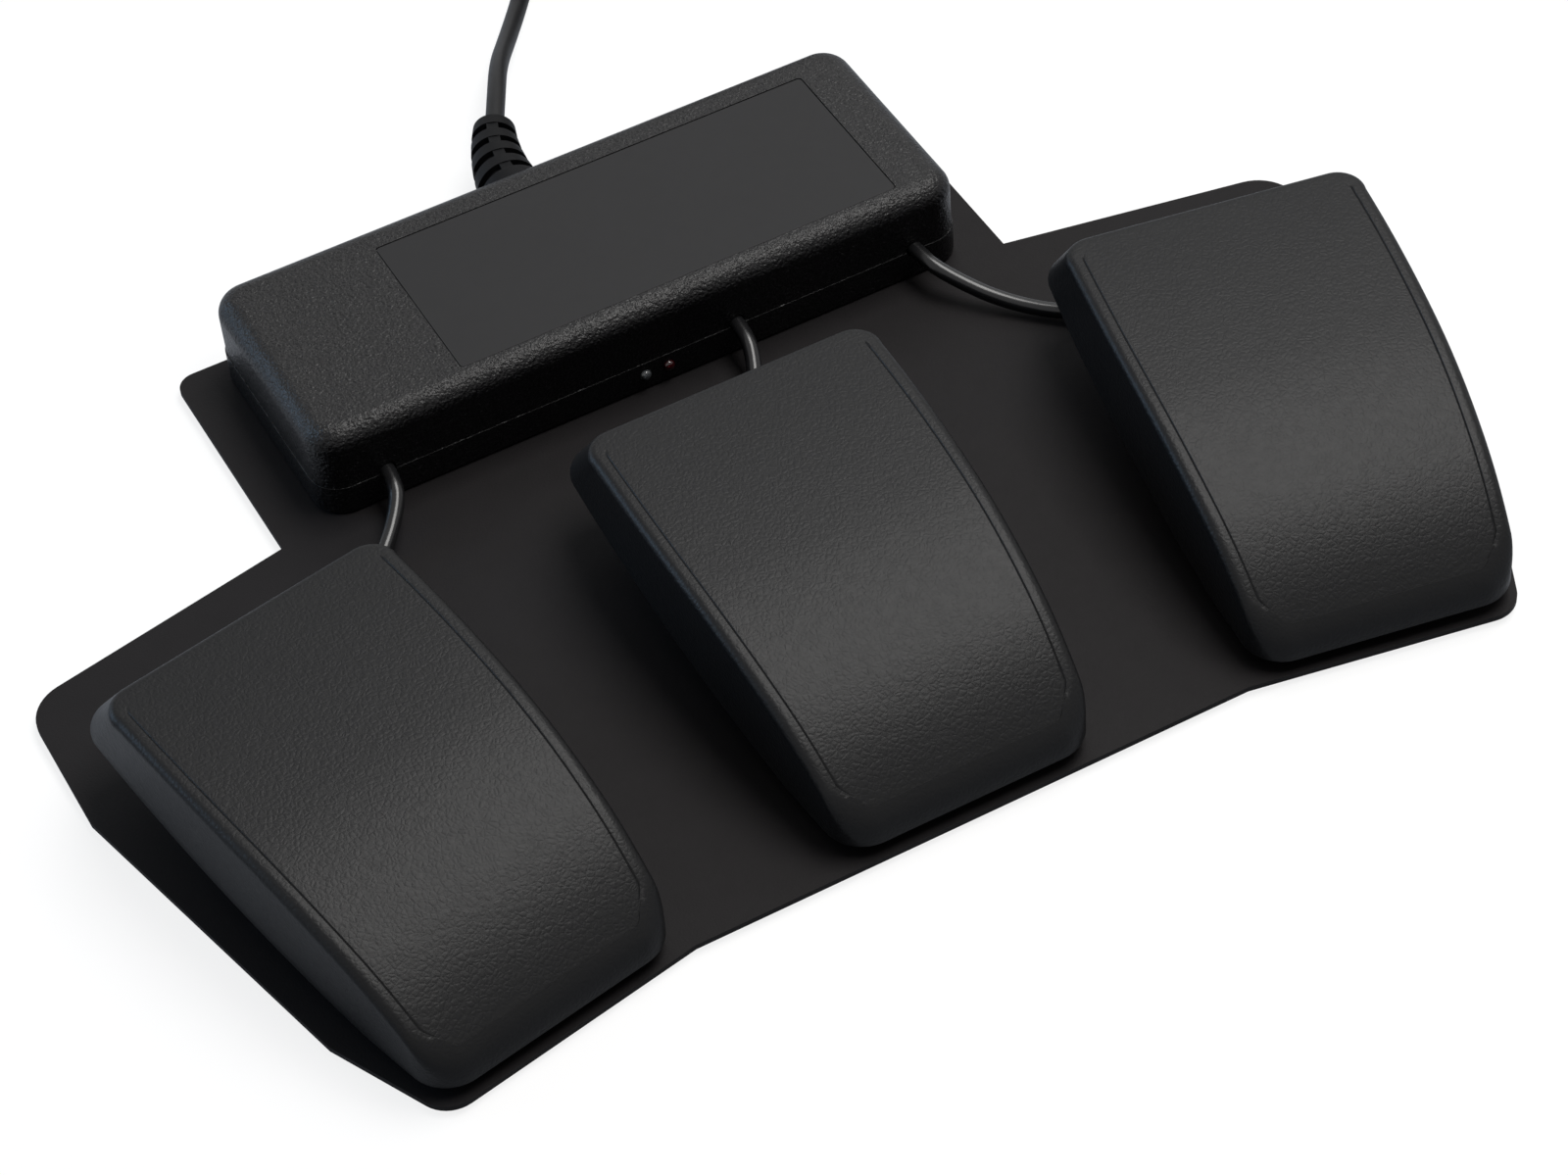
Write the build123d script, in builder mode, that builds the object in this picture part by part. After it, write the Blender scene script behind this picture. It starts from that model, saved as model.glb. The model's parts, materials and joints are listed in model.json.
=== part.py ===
from build123d import *
import math
import os

os.makedirs("parts", exist_ok=True)

# Usb foot pedal switch: three sprung pedals and a control box on one steel plate.
# Millimetres. +X is the user's right, +Y points away from the user, +Z is up and
# z = 0 is the floor that the rubber mat lies on.

# Steel plate with a rubber mat under it
mat_thickness = 1.5
mat_inset = 1.5
plate_thickness = 1.5
plate_half_width = 172.0
tab_half_width = 100.0
tab_depth = 67.5
tab_corner = 5.0
wing_drop = 14.6
wing_corner = 11.0
side_end = 55.8
flank_half_width = 151.4
flank_depth = 141.5
toe_half_width = 137.0
toe_depth = 170.8
toe_corner = 8.0
middle_edge_half = 71.05
middle_edge_depth = 158.06

# Where the pedals stand on the plate, measured from the plate's inner corners
pedal_rear_depth = 44.0
outer_pedal_offset = 126.8
outer_pedal_setback = 8.8
fan_angle = 10.7
press_angle = 8.0

# Pedal cap, a moulded shell that is high at the rear and curls down at the front
hinge_to_rear = 77.0
hinge_to_front = 36.0
cap_height = 40.0
cap_rear_slope = 2.0
cap_top_shares = [(0.0, 1.0), (0.4425, 0.90), (0.745, 0.694), (1.0, 0.225)]
cap_rear_half_width = 38.0
cap_waist_half_width = 37.0
cap_front_half_width = 32.0
cap_waist_share = 0.5
cap_front_corner = 10.0
cap_rim_radius = 2.2
cap_crown_share = 0.3
arc_run_on = 0.2
cap_wall = 2.5
rear_lean = 16.5
rear_foot_corner = 9.0
skirt_rear_height = 20.0
skirt_low_height = 4.5
skirt_front_height = 3.4
skirt_low_share = 0.78

# Hinge of each pedal
hinge_height = 9.0
pin_radius = 2.0
pin_clearance = 0.05
post_offset = 20.0
post_thickness = 4.0
post_half_width = 6.5
cap_ear_thickness = 3.0
cap_ear_radius = 5.0
side_clearance = 0.4
pin_overhang = 2.0
pin_chamfer = 0.4

# Moulded pedal base, screwed down from under the plate
base_half_width = 24.0
base_rear = 70.0
base_front = 26.0
base_floor = 3.0
base_corner = 4.0
boss_radius = 4.0
boss_height = 4.0
boss_offset = 16.5
boss_front = 16.5
boss_rear = 44.0
rest_pad_height = 1.0
rest_pad_depth = 4.0
rest_pad_half_width = 8.0
rest_pad_setback = 22.0

# Countersunk screws through the plate
screw_radius = 1.5
screw_clearance = 0.1
thread_clearance = 0.05
screw_head_radius = 2.9
screw_head_height = 1.4
screw_bite = 5.5
screw_tip_room = 0.5
recess_width = 0.7
recess_length = 3.0
recess_depth = 0.8

# Return spring under each cap
spring_place = 20.0
spring_radius = 6.0
wire_radius = 0.6
spring_top = 22.0
spring_active_turns = 4
spring_end_pitch = 1.75
spring_steps_in_turn = 4
spring_seat_gap = 0.1
moving_gap = 0.3
spigot_radius = 4.4
spigot_height = 4.0
spring_boss_radius = 8.0

# Snap switch under each cap, with its lever and button
switch_length = 27.8
switch_width = 10.3
switch_height = 15.9
switch_front = 32.0
switch_edge = 0.6
switch_hole_spacing = 22.2
switch_hole_height = 3.2
switch_hole_radius = 1.6
switch_wall_thickness = 3.5
switch_wall_height = 8.0
switch_wall_gap = 0.1
lever_inset = 2.3
lever_rise = 1.2
lever_length = 24.0
lever_thickness = 0.4
lever_half_width = 2.2
lever_angle = 13.0
lever_eye_radius = 1.1
lever_pivot_radius = 0.5
lug_thickness = 1.2
lug_gap = 0.2
lug_width = 2.6
button_reach = 6.5
button_radius = 1.2
button_edge = 0.4
button_gap = 0.3
button_travel = 1.6
button_length = 7.0
button_bore_gap = 0.3
terminal_width = 4.8
terminal_thickness = 0.8
terminal_length = 6.2
terminal_pitch = 2.4
terminal_low = 2.6
pan_head_radius = 2.75
pan_head_height = 2.0

# What the cap carries inside
nose_radius = 1.5
nose_reach = 22.0
nose_half_width = 3.0
nose_gap = 0.35
stop_offset = 16.0
stop_place = 64.0
stop_rib_width = 6.0
bump_radius = 4.0
bump_height = 5.0

# Control box
module_half_length = 88.3
module_shift = 1.2
module_front = 1.66
module_depth = 65.3
module_height = 25.6
module_corner = 8.0
module_seam = 8.8
module_wall = 2.2
module_top_round = 5.5
module_foot_chamfer = 0.8
lip_depth = 1.2
lip_thickness = 1.2
lip_clearance = 0.3
panel_centre = 14.5
panel_length = 119.6
panel_depth = 49.6
panel_front = 5.95
panel_recess = 0.5
panel_thickness = 0.4
panel_clearance = 0.2
panel_corner = 1.0
post_radius = 4.0
module_screw_spread = 60.0
module_screw_front = 12.4
module_screw_rear = 53.8
module_screw_bite = 9.0

# Electronics inside the control box
board_half_length = 80.0
board_front = 7.5
board_depth = 41.0
board_thickness = 1.6
board_lift = 1.0
standoff_radius = 2.5
board_hole_clearance = 0.3
board_screw_radius = 1.2
board_screw_head = 2.2
board_screw_head_height = 1.4
board_screw_spread = 40.0
board_screw_inset = 4.0
board_screw_bite = 2.0
chip_size = 10.0
chip_thickness = 1.6
chip_chamfer = 0.4
chip_place = (-22.0, 28.0)
header_width = 7.0
header_depth = 6.0
header_height = 7.4
header_place = 10.0
usb_header_height = 10.6
led_radius = 1.5
led_flange_radius = 1.9
led_flange_thickness = 1.0
led_length = 6.8
led_stand = 1.5
led_dome_share = 0.9
led_height = 5.05
led_clearance = 0.05
led_leg_width = 0.5
led_leg_spacing = 2.54
led_leg_overlap = 3.0
led_places = {"led_clear": -0.8, "led_red": 5.7}

# Leads from the control box to the pedals
lead_radius = 2.0
lead_hole_clearance = 0.1
lead_exit_height = 9.4
lead_end_gap = 3.0
lead_tail_length = 12.0
core_radius = 0.6
lead_exits = {"left": -69.8, "middle": 25.3, "right": 75.2}
lead_routes = {
    "left": [(-69.8, 48.5, 12.4), (-73.0, 42.0, 9.3), (-81.5, 32.5, 6.0), (-95.5, 20.0, 5.2),
             (-109.5, 12.0, 7.0)],
    "middle": [(25.3, 48.5, 12.4), (23.6, 41.5, 9.6), (18.5, 31.5, 6.4), (9.5, 22.5, 7.2)],
    "right": [(75.2, 48.5, 12.4), (79.0, 41.0, 10.0), (87.0, 30.5, 6.4), (98.0, 19.5, 5.2),
              (111.0, 11.0, 7.0)],
}

# Usb cord, its strain relief, its coil and its plug
cord_radius = 2.5
cord_lift = 0.05
relief_centre = -2.3
relief_height = 12.2
relief_neck_radius = 6.0
relief_neck_clearance = 0.1
relief_root_radius = 9.0
relief_tip_radius = 5.3
relief_end_radius = 3.3
relief_flange = 5.6
relief_inner_flange = 1.8
relief_rings = 4
relief_slot = 2.6
relief_ring = 3.6
relief_tip = 1.8
relief_rib_width = 3.0
relief_slot_depth = 1.7
relief_rib_drop = 0.3
relief_turn = 28.0
cord_exit_run = 12.1
cord_entry_run = 27.0
cord_route = [(18.3, 174.4, 11.8), (27.0, 188.5, 6.2), (38.0, 204.6, 2.55)]
coil_entry = (67.3, 246.7)
coil_heading = 56.3
coil_radius = 27.6
coil_pitch = 5.6
coil_layer_pitch = 5.5
coil_layers = 4
coil_turns_in_layer = 2.25
coil_climb_share = 0.5
coil_steps_in_turn = 4
coil_reading_share = 0.2
coil_curl_radius = 21.0
plug_width = 15.6
plug_thickness = 7.8
plug_corner = 2.6
plug_neck_radius = 3.3
plug_neck_length = 8.0
plug_grip_length = 20.0
plug_lie_gap = 0.3
shell_width = 12.0
shell_thickness = 4.5
shell_wall = 0.35
shell_length = 12.5
shell_corner = 0.5
window_size = 2.3
window_offset = 2.6
window_place = 5.6
tongue_width = 11.0
tongue_thickness = 1.8
tongue_length = 11.6
contact_width = 1.0
contact_thickness = 0.2
contact_length = 8.5
contact_pitch = 2.3
contact_count = 4
contact_inset = 1.2
overrun = 5.0
corner_share = 0.45
self_gap_span = 3.0

plate_top = mat_thickness + plate_thickness
cap_length = hinge_to_rear + hinge_to_front
switch_top = base_floor + switch_height
switch_rear = switch_front + switch_length


def save(piece, name):
    """Label one finished piece and write its STEP file."""
    piece.part.label = name
    export_step(piece.part, f"parts/{name}.step")


def unit(vector):
    """Return the vector at length one."""
    return vector / vector.length


def biarc_line(points, tangents):
    """Draw one smooth line: two tangent arcs between each point and the next."""
    for here, there, leave, arrive in zip(points, points[1:], tangents, tangents[1:]):
        chord = there - here
        bend = 2 * (1 - leave.dot(arrive))
        pull = chord.dot(leave + arrive)
        reach = (math.sqrt(pull**2 + bend * chord.dot(chord)) - pull) / bend
        joint = (here + there + (leave - arrive) * reach) / 2
        across = unit((there - arrive * reach) - (here + leave * reach))
        TangentArc(here, joint, tangent=leave)
        TangentArc(joint, there, tangent=across)


def corner_radii(points):
    """Give each corner of a route the largest arc that its two runs allow."""
    radii = []
    for before, here, after in zip(points, points[1:], points[2:]):
        arriving = here - before
        leaving = after - here
        half_turn = math.radians(arriving.get_angle(leaving)) / 2
        shorter = min(arriving.length, leaving.length)
        radii.append(corner_share * shorter / math.tan(half_turn))
    return radii


def report_tube(name, part, radius, length, radii):
    """Print a cord's length, its arcs, and how its volume matches its section."""
    ratio = part.volume / (math.pi * radius**2 * length)
    print(name, "length", round(length, 1), "volume ratio", round(ratio, 4))
    if radii:
        print(name, "radii", [round(radius, 1) for radius in radii])


# The plate's outline, mirrored about the middle
def half_outline():
    """Return the plate's right half as points from the rear edge to the front edge."""
    return [
        (0.0, tab_depth),
        (tab_half_width, tab_depth),
        (tab_half_width, 0.0),
        (plate_half_width, -wing_drop),
        (plate_half_width, -side_end),
        (flank_half_width, -flank_depth),
        (toe_half_width, -toe_depth),
        (middle_edge_half, -middle_edge_depth),
        (0.0, -middle_edge_depth),
    ]


def plate_face(inset):
    """Return the plate's outline as a sketch, drawn in by the inset."""
    with BuildSketch() as outline:
        with BuildLine():
            Polyline(*half_outline())
            mirror(about=Plane.YZ)
        make_face()
        for place_x, place_y, radius in (
            (tab_half_width, tab_depth, tab_corner),
            (plate_half_width, -wing_drop, wing_corner),
            (toe_half_width, -toe_depth, toe_corner),
        ):
            near = outline.vertices().filter_by(
                lambda v, x=place_x, y=place_y: abs(abs(v.X) - x) + abs(v.Y - y) < plate_thickness
            )
            fillet(near, radius=radius)
        if inset:
            offset(amount=-inset)
    return outline.sketch


plate_box = plate_face(0).bounding_box()
shoulder_y = -(plate_box.min.Y + plate_box.max.Y) / 2


def pedal_seat(side):
    """Return the plane on the plate's top below one pedal's hinge, +Y to its rear."""
    sign = {"left": -1, "middle": 0, "right": 1}[side]
    turn = math.radians(-sign * fan_angle)
    backward = Vector(-math.sin(turn), math.cos(turn), 0)
    rear = Vector(
        sign * outer_pedal_offset,
        shoulder_y - pedal_rear_depth - abs(sign) * outer_pedal_setback,
        plate_top,
    )
    return Plane(
        origin=rear - backward * hinge_to_rear,
        x_dir=(math.cos(turn), math.sin(turn), 0),
        z_dir=(0, 0, 1),
    )


def side_plane(seat, across=0):
    """Return the plane that shows a pedal from its side: x to the rear, y up."""
    return Plane(
        origin=seat.origin + seat.x_dir * across, x_dir=seat.y_dir, z_dir=seat.x_dir
    )


sides = ("left", "middle", "right")
seats = {side: pedal_seat(side) for side in sides}
home = Plane.XY
screw_spots = [
    (across, along) for across in (-boss_offset, boss_offset) for along in (-boss_front, boss_rear)
]
switch_screw_spots = [
    ((switch_front + switch_rear) / 2 + side * switch_hole_spacing / 2,
     base_floor + switch_hole_height)
    for side in (-1, 1)
]
module_screw_spots = [
    (across, shoulder_y + along)
    for across in (-module_screw_spread, module_screw_spread)
    for along in (module_screw_front, module_screw_rear)
]


# Rubber mat glued under the plate
with BuildPart() as anti_slip_mat:
    with BuildSketch(Plane.XY):
        with Locations((0, shoulder_y)):
            add(plate_face(mat_inset))
    extrude(amount=mat_thickness)
save(anti_slip_mat, "anti_slip_mat")

# Steel plate, countersunk from below for the pedal bases and the control box
with BuildPart() as base_plate:
    with BuildSketch(Plane.XY.offset(mat_thickness)):
        with Locations((0, shoulder_y)):
            add(plate_face(0))
    extrude(amount=plate_thickness)
    for seat, spots in [(seats[side], screw_spots) for side in sides] + [
        (Plane.XY.offset(plate_top), module_screw_spots)
    ]:
        with BuildSketch(seat.offset(-plate_thickness)):
            with Locations(*spots):
                Circle(screw_head_radius + screw_clearance)
        extrude(amount=screw_head_height, taper=45, mode=Mode.SUBTRACT)
        with BuildSketch(seat.offset(-plate_thickness)):
            with Locations(*spots):
                Circle(screw_radius + screw_clearance)
        extrude(amount=plate_thickness, mode=Mode.SUBTRACT)
save(base_plate, "base_plate")


def countersunk_screws(groups, bite):
    """Return countersunk screws whose heads lie flush with the plate's underside."""
    with BuildPart() as screws:
        for seat, spots in groups:
            with BuildSketch(seat.offset(-plate_thickness)):
                with Locations(*spots):
                    Circle(screw_head_radius)
            extrude(amount=screw_head_height, taper=45)
            with BuildSketch(seat.offset(-plate_thickness)):
                with Locations(*spots):
                    Circle(screw_radius)
            extrude(amount=plate_thickness + bite)
            with BuildSketch(seat.offset(-plate_thickness)):
                with Locations(*spots):
                    Rectangle(recess_length, recess_width)
                    Rectangle(recess_width, recess_length)
            extrude(amount=recess_depth, mode=Mode.SUBTRACT)
    return screws


save(countersunk_screws([(seats[side], screw_spots) for side in sides], screw_bite), "pedal_screws")
save(
    countersunk_screws([(Plane.XY.offset(plate_top), module_screw_spots)], module_screw_bite),
    "module_screws",
)


# Pedal cap
def cap_body(inset):
    """Return a solid cap, drawn in by the inset and open-ended downwards."""
    depth_below = cap_height
    with BuildPart() as body:
        with BuildSketch(side_plane(home)):
            with BuildLine():
                points = [
                    (hinge_to_rear - along * cap_length, up * cap_height)
                    for along, up in cap_top_shares
                ]
                slope = math.radians(cap_rear_slope)
                rear_arc = TangentArc(
                    points[0],
                    points[1],
                    tangent=(-math.cos(slope), -math.sin(slope)),
                    mode=Mode.PRIVATE,
                )
                middle_arc = TangentArc(points[1], points[2], tangent=rear_arc % 1)
                front_arc = TangentArc(
                    points[2], points[3], tangent=middle_arc % 1, mode=Mode.PRIVATE
                )
                fore = front_arc @ (1 + arc_run_on)
                rear_rise = cap_height - skirt_rear_height
                rear_reach = rear_lean * (cap_height + depth_below) / rear_rise
                ThreePointArc(points[0], rear_arc @ 0.5, points[1])
                ThreePointArc(points[2], points[3], fore)
                Polyline(
                    fore,
                    (fore.X, -depth_below),
                    (hinge_to_rear + rear_reach, -depth_below),
                    points[0],
                )
            make_face()
            if inset:
                offset(amount=-inset, kind=Kind.INTERSECTION)
        extrude(amount=cap_rear_half_width + overrun, both=True)
        with BuildSketch(home.offset(-depth_below - overrun)) as plan:
            waist = hinge_to_rear - cap_waist_share * cap_length
            with BuildLine():
                ThreePointArc(
                    (cap_rear_half_width, hinge_to_rear),
                    (cap_waist_half_width, waist),
                    (cap_front_half_width, -hinge_to_front),
                )
                ThreePointArc(
                    (-cap_rear_half_width, hinge_to_rear),
                    (-cap_waist_half_width, waist),
                    (-cap_front_half_width, -hinge_to_front),
                )
                Polyline(
                    (cap_rear_half_width, hinge_to_rear),
                    (cap_rear_half_width, hinge_to_rear + rear_lean),
                    (-cap_rear_half_width, hinge_to_rear + rear_lean),
                    (-cap_rear_half_width, hinge_to_rear),
                )
                Line(
                    (cap_front_half_width, -hinge_to_front),
                    (-cap_front_half_width, -hinge_to_front),
                )
            make_face()
            fillet(plan.vertices().group_by(Axis.Y)[-1], radius=rear_foot_corner)
            fillet(plan.vertices().group_by(Axis.Y)[0], radius=cap_front_corner)
            if inset:
                offset(amount=-inset)
        extrude(amount=depth_below + cap_height + 2 * overrun, mode=Mode.INTERSECT)
    return body.part


def cap_ribs():
    """Return the hinge ears, spring boss, switch nose and stops inside a cap."""
    nose_angle = math.radians(lever_angle)
    pivot_along = switch_rear - lever_inset
    pivot_up = switch_top + lever_rise
    nose_along = pivot_along - nose_reach * math.cos(nose_angle)
    lever_top = pivot_up + nose_reach * math.sin(nose_angle) + lever_thickness / 2
    nose_up = lever_top + nose_gap + nose_radius
    press = math.radians(press_angle)
    stop_far = stop_place + stop_rib_width / 2
    stop_level = base_floor + bump_height + moving_gap
    stop_up = hinge_height + (stop_level - hinge_height + stop_far * math.sin(press)) / math.cos(press)
    rest_up = base_floor + rest_pad_height + moving_gap
    ear_offset = post_offset + post_thickness / 2 + side_clearance
    with BuildPart() as ribs:
        for across in (ear_offset, -ear_offset - cap_ear_thickness):
            with BuildSketch(side_plane(home, across)):
                with Locations((0, hinge_height)):
                    Circle(cap_ear_radius)
                    Rectangle(
                        2 * cap_ear_radius, cap_height, align=(Align.CENTER, Align.MIN)
                    )
                with Locations((0, hinge_height)):
                    Circle(pin_radius + pin_clearance, mode=Mode.SUBTRACT)
            extrude(amount=cap_ear_thickness)
        with BuildSketch(home.offset(spring_top)):
            with Locations((0, spring_place)):
                Circle(spring_boss_radius)
        extrude(amount=cap_height - spring_top)
        with BuildSketch(home.offset(spring_top - spigot_height)):
            with Locations((0, spring_place)):
                Circle(spigot_radius)
        extrude(amount=cap_height - spring_top)
        with BuildSketch(side_plane(home)):
            with Locations((nose_along, nose_up)):
                Circle(nose_radius)
                Rectangle(2 * nose_radius, cap_height, align=(Align.CENTER, Align.MIN))
        extrude(amount=nose_half_width, both=True)
        with BuildSketch(home.offset(stop_up)):
            with Locations((-stop_offset, stop_place), (stop_offset, stop_place)):
                Rectangle(stop_rib_width, stop_rib_width)
        extrude(amount=cap_height)
        with BuildSketch(home.offset(rest_up)):
            with Locations((0, -rest_pad_setback)):
                Rectangle(2 * rest_pad_half_width, cap_wall)
        extrude(amount=cap_height)
    return ribs.part


# Cap, cut out by one hollow that spares the ribs
kink = hinge_to_rear - skirt_low_share * cap_length
rear_foot = hinge_to_rear + rear_lean
with BuildPart() as hollow:
    add(cap_body(cap_wall))
    with BuildSketch(side_plane(home)):
        with BuildLine():
            Polyline(
                (rear_foot + overrun, skirt_rear_height),
                (rear_foot, skirt_rear_height),
                (kink, skirt_low_height),
                (-hinge_to_front, skirt_front_height),
                (-hinge_to_front - overrun, skirt_front_height),
                (-hinge_to_front - overrun, -cap_height - overrun),
                (rear_foot + overrun, -cap_height - overrun),
                close=True,
            )
        make_face()
    extrude(amount=cap_rear_half_width + overrun, both=True)
    add(cap_ribs(), mode=Mode.SUBTRACT)
with BuildPart() as pedal_cap:
    add(cap_body(0))
    crown = pedal_cap.faces().filter_by(lambda face: face.normal_at().Z > cap_crown_share)
    crown_edges = [edge for face in crown for edge in face.edges()]
    rim = [
        edge
        for edge in crown_edges
        if sum(edge.is_same(other) for other in crown_edges) == 1
    ]
    fillet(rim, radius=cap_rim_radius)
    add(hollow.part, mode=Mode.SUBTRACT)

# Pedal base
with BuildPart() as pedal_base:
    with BuildSketch(home):
        with Locations((0, (base_rear - base_front) / 2)):
            RectangleRounded(2 * base_half_width, base_rear + base_front, base_corner)
    extrude(amount=base_floor)
    for across in (post_offset - post_thickness / 2, -post_offset - post_thickness / 2):
        with BuildSketch(side_plane(home, across)):
            with Locations((0, hinge_height)):
                Circle(post_half_width)
                Rectangle(
                    2 * post_half_width, hinge_height, align=(Align.CENTER, Align.MAX)
                )
        extrude(amount=post_thickness)
    with BuildSketch(home.offset(base_floor)):
        with Locations(*screw_spots):
            Circle(boss_radius)
        with Locations((0, spring_place)):
            Circle(spigot_radius)
    extrude(amount=boss_height)
    with BuildSketch(home.offset(base_floor)):
        with Locations((0, -rest_pad_setback)):
            Rectangle(2 * rest_pad_half_width, rest_pad_depth)
    extrude(amount=rest_pad_height)
    with BuildSketch(home.offset(base_floor)):
        with Locations((switch_width / 2 + switch_wall_gap, (switch_front + switch_rear) / 2)):
            Rectangle(
                switch_wall_thickness, switch_length, align=(Align.MIN, Align.CENTER)
            )
    extrude(amount=switch_wall_height)
    with BuildSketch(side_plane(home)):
        with Locations((0, hinge_height)):
            Circle(pin_radius + pin_clearance)
    extrude(amount=base_half_width, both=True, mode=Mode.SUBTRACT)
    with BuildSketch(home):
        with Locations(*screw_spots):
            Circle(screw_radius + thread_clearance)
    extrude(amount=screw_bite + screw_tip_room, mode=Mode.SUBTRACT)
    with BuildSketch(side_plane(home, switch_width / 2)):
        with Locations(*switch_screw_spots):
            Circle(screw_radius + thread_clearance)
    extrude(amount=switch_wall_gap + switch_wall_thickness, mode=Mode.SUBTRACT)

# Hinge pin with chamfered ends
pin_half_length = (
    post_offset + post_thickness / 2 + side_clearance + cap_ear_thickness + pin_overhang
)
with BuildPart() as hinge_pin:
    with BuildSketch(side_plane(home)):
        with Locations((0, hinge_height)):
            Circle(pin_radius)
    extrude(amount=pin_half_length, both=True)
    chamfer(hinge_pin.edges().filter_by(GeomType.CIRCLE), length=pin_chamfer)


def spring_wire():
    """Return the points and tangents of one spring's wire, standing on the base."""
    height = spring_top - moving_gap - base_floor - spring_seat_gap
    rise = height - 2 * wire_radius
    active_pitch = (rise - 2 * spring_end_pitch) / spring_active_turns
    steps = spring_steps_in_turn
    turns = spring_active_turns + 2
    pitches = [
        spring_end_pitch if step < steps or step >= (turns - 1) * steps else active_pitch
        for step in range(turns * steps)
    ]
    level = base_floor + spring_seat_gap + wire_radius
    points = []
    tangents = []
    for step in range(turns * steps + 1):
        angle = 2 * math.pi * step / steps
        pitch = (pitches[max(step - 1, 0)] + pitches[min(step, turns * steps - 1)]) / 2
        spoke = Vector(math.cos(angle), math.sin(angle), 0)
        points.append(Vector(0, spring_place, level) + spoke * spring_radius)
        tangents.append(
            unit(Vector(-math.sin(angle), math.cos(angle), pitch / (2 * math.pi * spring_radius)))
        )
        if step < turns * steps:
            level += pitches[step] / steps
    return points, tangents


# Compression spring between the base's and the cap's spigots
with BuildPart() as return_spring:
    with BuildLine() as wire:
        biarc_line(*spring_wire())
    with BuildSketch(Plane(origin=wire.line @ 0, z_dir=wire.line % 0)):
        Circle(wire_radius)
    sweep()


# Snap switch
pivot = (switch_rear - lever_inset, switch_top + lever_rise)
lug_inner = lever_half_width + lug_gap
button_along = switch_rear - lever_inset - button_reach
bore_depth = button_length - button_gap + button_travel
with BuildPart() as switch_case:
    with BuildSketch(home.offset(base_floor)):
        with Locations((0, (switch_front + switch_rear) / 2)):
            RectangleRounded(switch_width, switch_length, switch_edge)
    extrude(amount=switch_height)
    for across in (lug_inner, -lug_inner - lug_thickness):
        with BuildSketch(side_plane(home, across)):
            with Locations(pivot):
                Circle(lug_width / 2)
                Rectangle(lug_width, 2 * lever_rise, align=(Align.CENTER, Align.MAX))
        extrude(amount=lug_thickness)
    with BuildSketch(side_plane(home)):
        with Locations(pivot):
            Circle(lever_pivot_radius)
    extrude(amount=lug_inner, both=True)
    with BuildSketch(home.offset(switch_top)):
        with Locations((0, button_along)):
            Circle(button_radius + button_bore_gap)
    extrude(amount=-bore_depth, mode=Mode.SUBTRACT)
    with BuildSketch(side_plane(home)):
        with Locations(*switch_screw_spots):
            Circle(switch_hole_radius)
    extrude(amount=switch_width, both=True, mode=Mode.SUBTRACT)

# Lever with the eye that turns on the pivot
pivot = (switch_rear - lever_inset, switch_top + lever_rise)
with BuildPart() as switch_lever:
    with BuildSketch(side_plane(home)):
        with Locations(pivot):
            Circle(lever_eye_radius)
            Rectangle(
                lever_length,
                lever_thickness,
                rotation=-lever_angle,
                align=(Align.MAX, Align.CENTER),
            )
            Circle(lever_pivot_radius + pin_clearance, mode=Mode.SUBTRACT)
    extrude(amount=lever_half_width, both=True)

# Button, standing just under its lever
rise = math.radians(lever_angle)
lever_under = lever_rise + button_reach * math.tan(rise) - lever_thickness / 2 / math.cos(rise)
edge_room = button_radius * math.tan(rise)
top = switch_top + lever_under - edge_room - button_gap
with BuildPart() as switch_button:
    with BuildSketch(home.offset(top - button_length)):
        with Locations((0, switch_rear - lever_inset - button_reach)):
            Circle(button_radius)
    extrude(amount=button_length)
    fillet(switch_button.edges().group_by(Axis.Z)[-1], radius=button_edge)


def terminal_levels():
    """Return the heights of a switch's terminals over the plate."""
    return [base_floor + terminal_low + step * terminal_pitch for step in range(3)]


# Three blade terminals on the rear face
with BuildPart() as switch_terminals:
    for level in terminal_levels():
        with BuildSketch(home.offset(level - terminal_thickness / 2)):
            with Locations((0, switch_rear)):
                Rectangle(
                    terminal_width, terminal_length, align=(Align.CENTER, Align.MIN)
                )
        extrude(amount=terminal_thickness)

# Two rubber stops that end the pedal's travel
with BuildPart() as bump_stops:
    with BuildSketch(home.offset(base_floor)):
        with Locations((-stop_offset, stop_place), (stop_offset, stop_place)):
            Circle(bump_radius)
    extrude(amount=bump_height)


# Leads
def pedal_lead(side, seat):
    """Return one lead from its header in the control box to its switch."""
    levels = terminal_levels()
    centre = (levels[0] + levels[1]) / 2
    tab_end = switch_rear + terminal_length
    jacket_end = tab_end + lead_end_gap
    inner = shoulder_y + module_front + header_place
    height = plate_top + lead_exit_height
    tail = [
        seat.origin + seat.y_dir * (jacket_end + lead_tail_length) + seat.z_dir * centre,
        seat.origin + seat.y_dir * jacket_end + seat.z_dir * centre,
    ]
    points = [Vector(lead_exits[side], inner, height)]
    points += [Vector(*point) for point in lead_routes[side]]
    points += tail
    radii = corner_radii(points)
    with BuildPart() as lead:
        with BuildLine() as route:
            FilletPolyline(*points, radius=radii)
        with BuildSketch(Plane(origin=route.line @ 0, z_dir=route.line % 0)):
            Circle(lead_radius)
        sweep()
        report_tube(f"pedal_lead_{side}", lead.part, lead_radius, route.wire().length, radii)
        tab_plane = Plane(
            origin=seat.origin + seat.y_dir * jacket_end, x_dir=seat.x_dir, z_dir=-seat.y_dir
        )
        with BuildSketch(tab_plane):
            with Locations((0, levels[0]), (0, levels[1])):
                Circle(core_radius)
        extrude(amount=lead_end_gap)
    return lead


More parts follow.
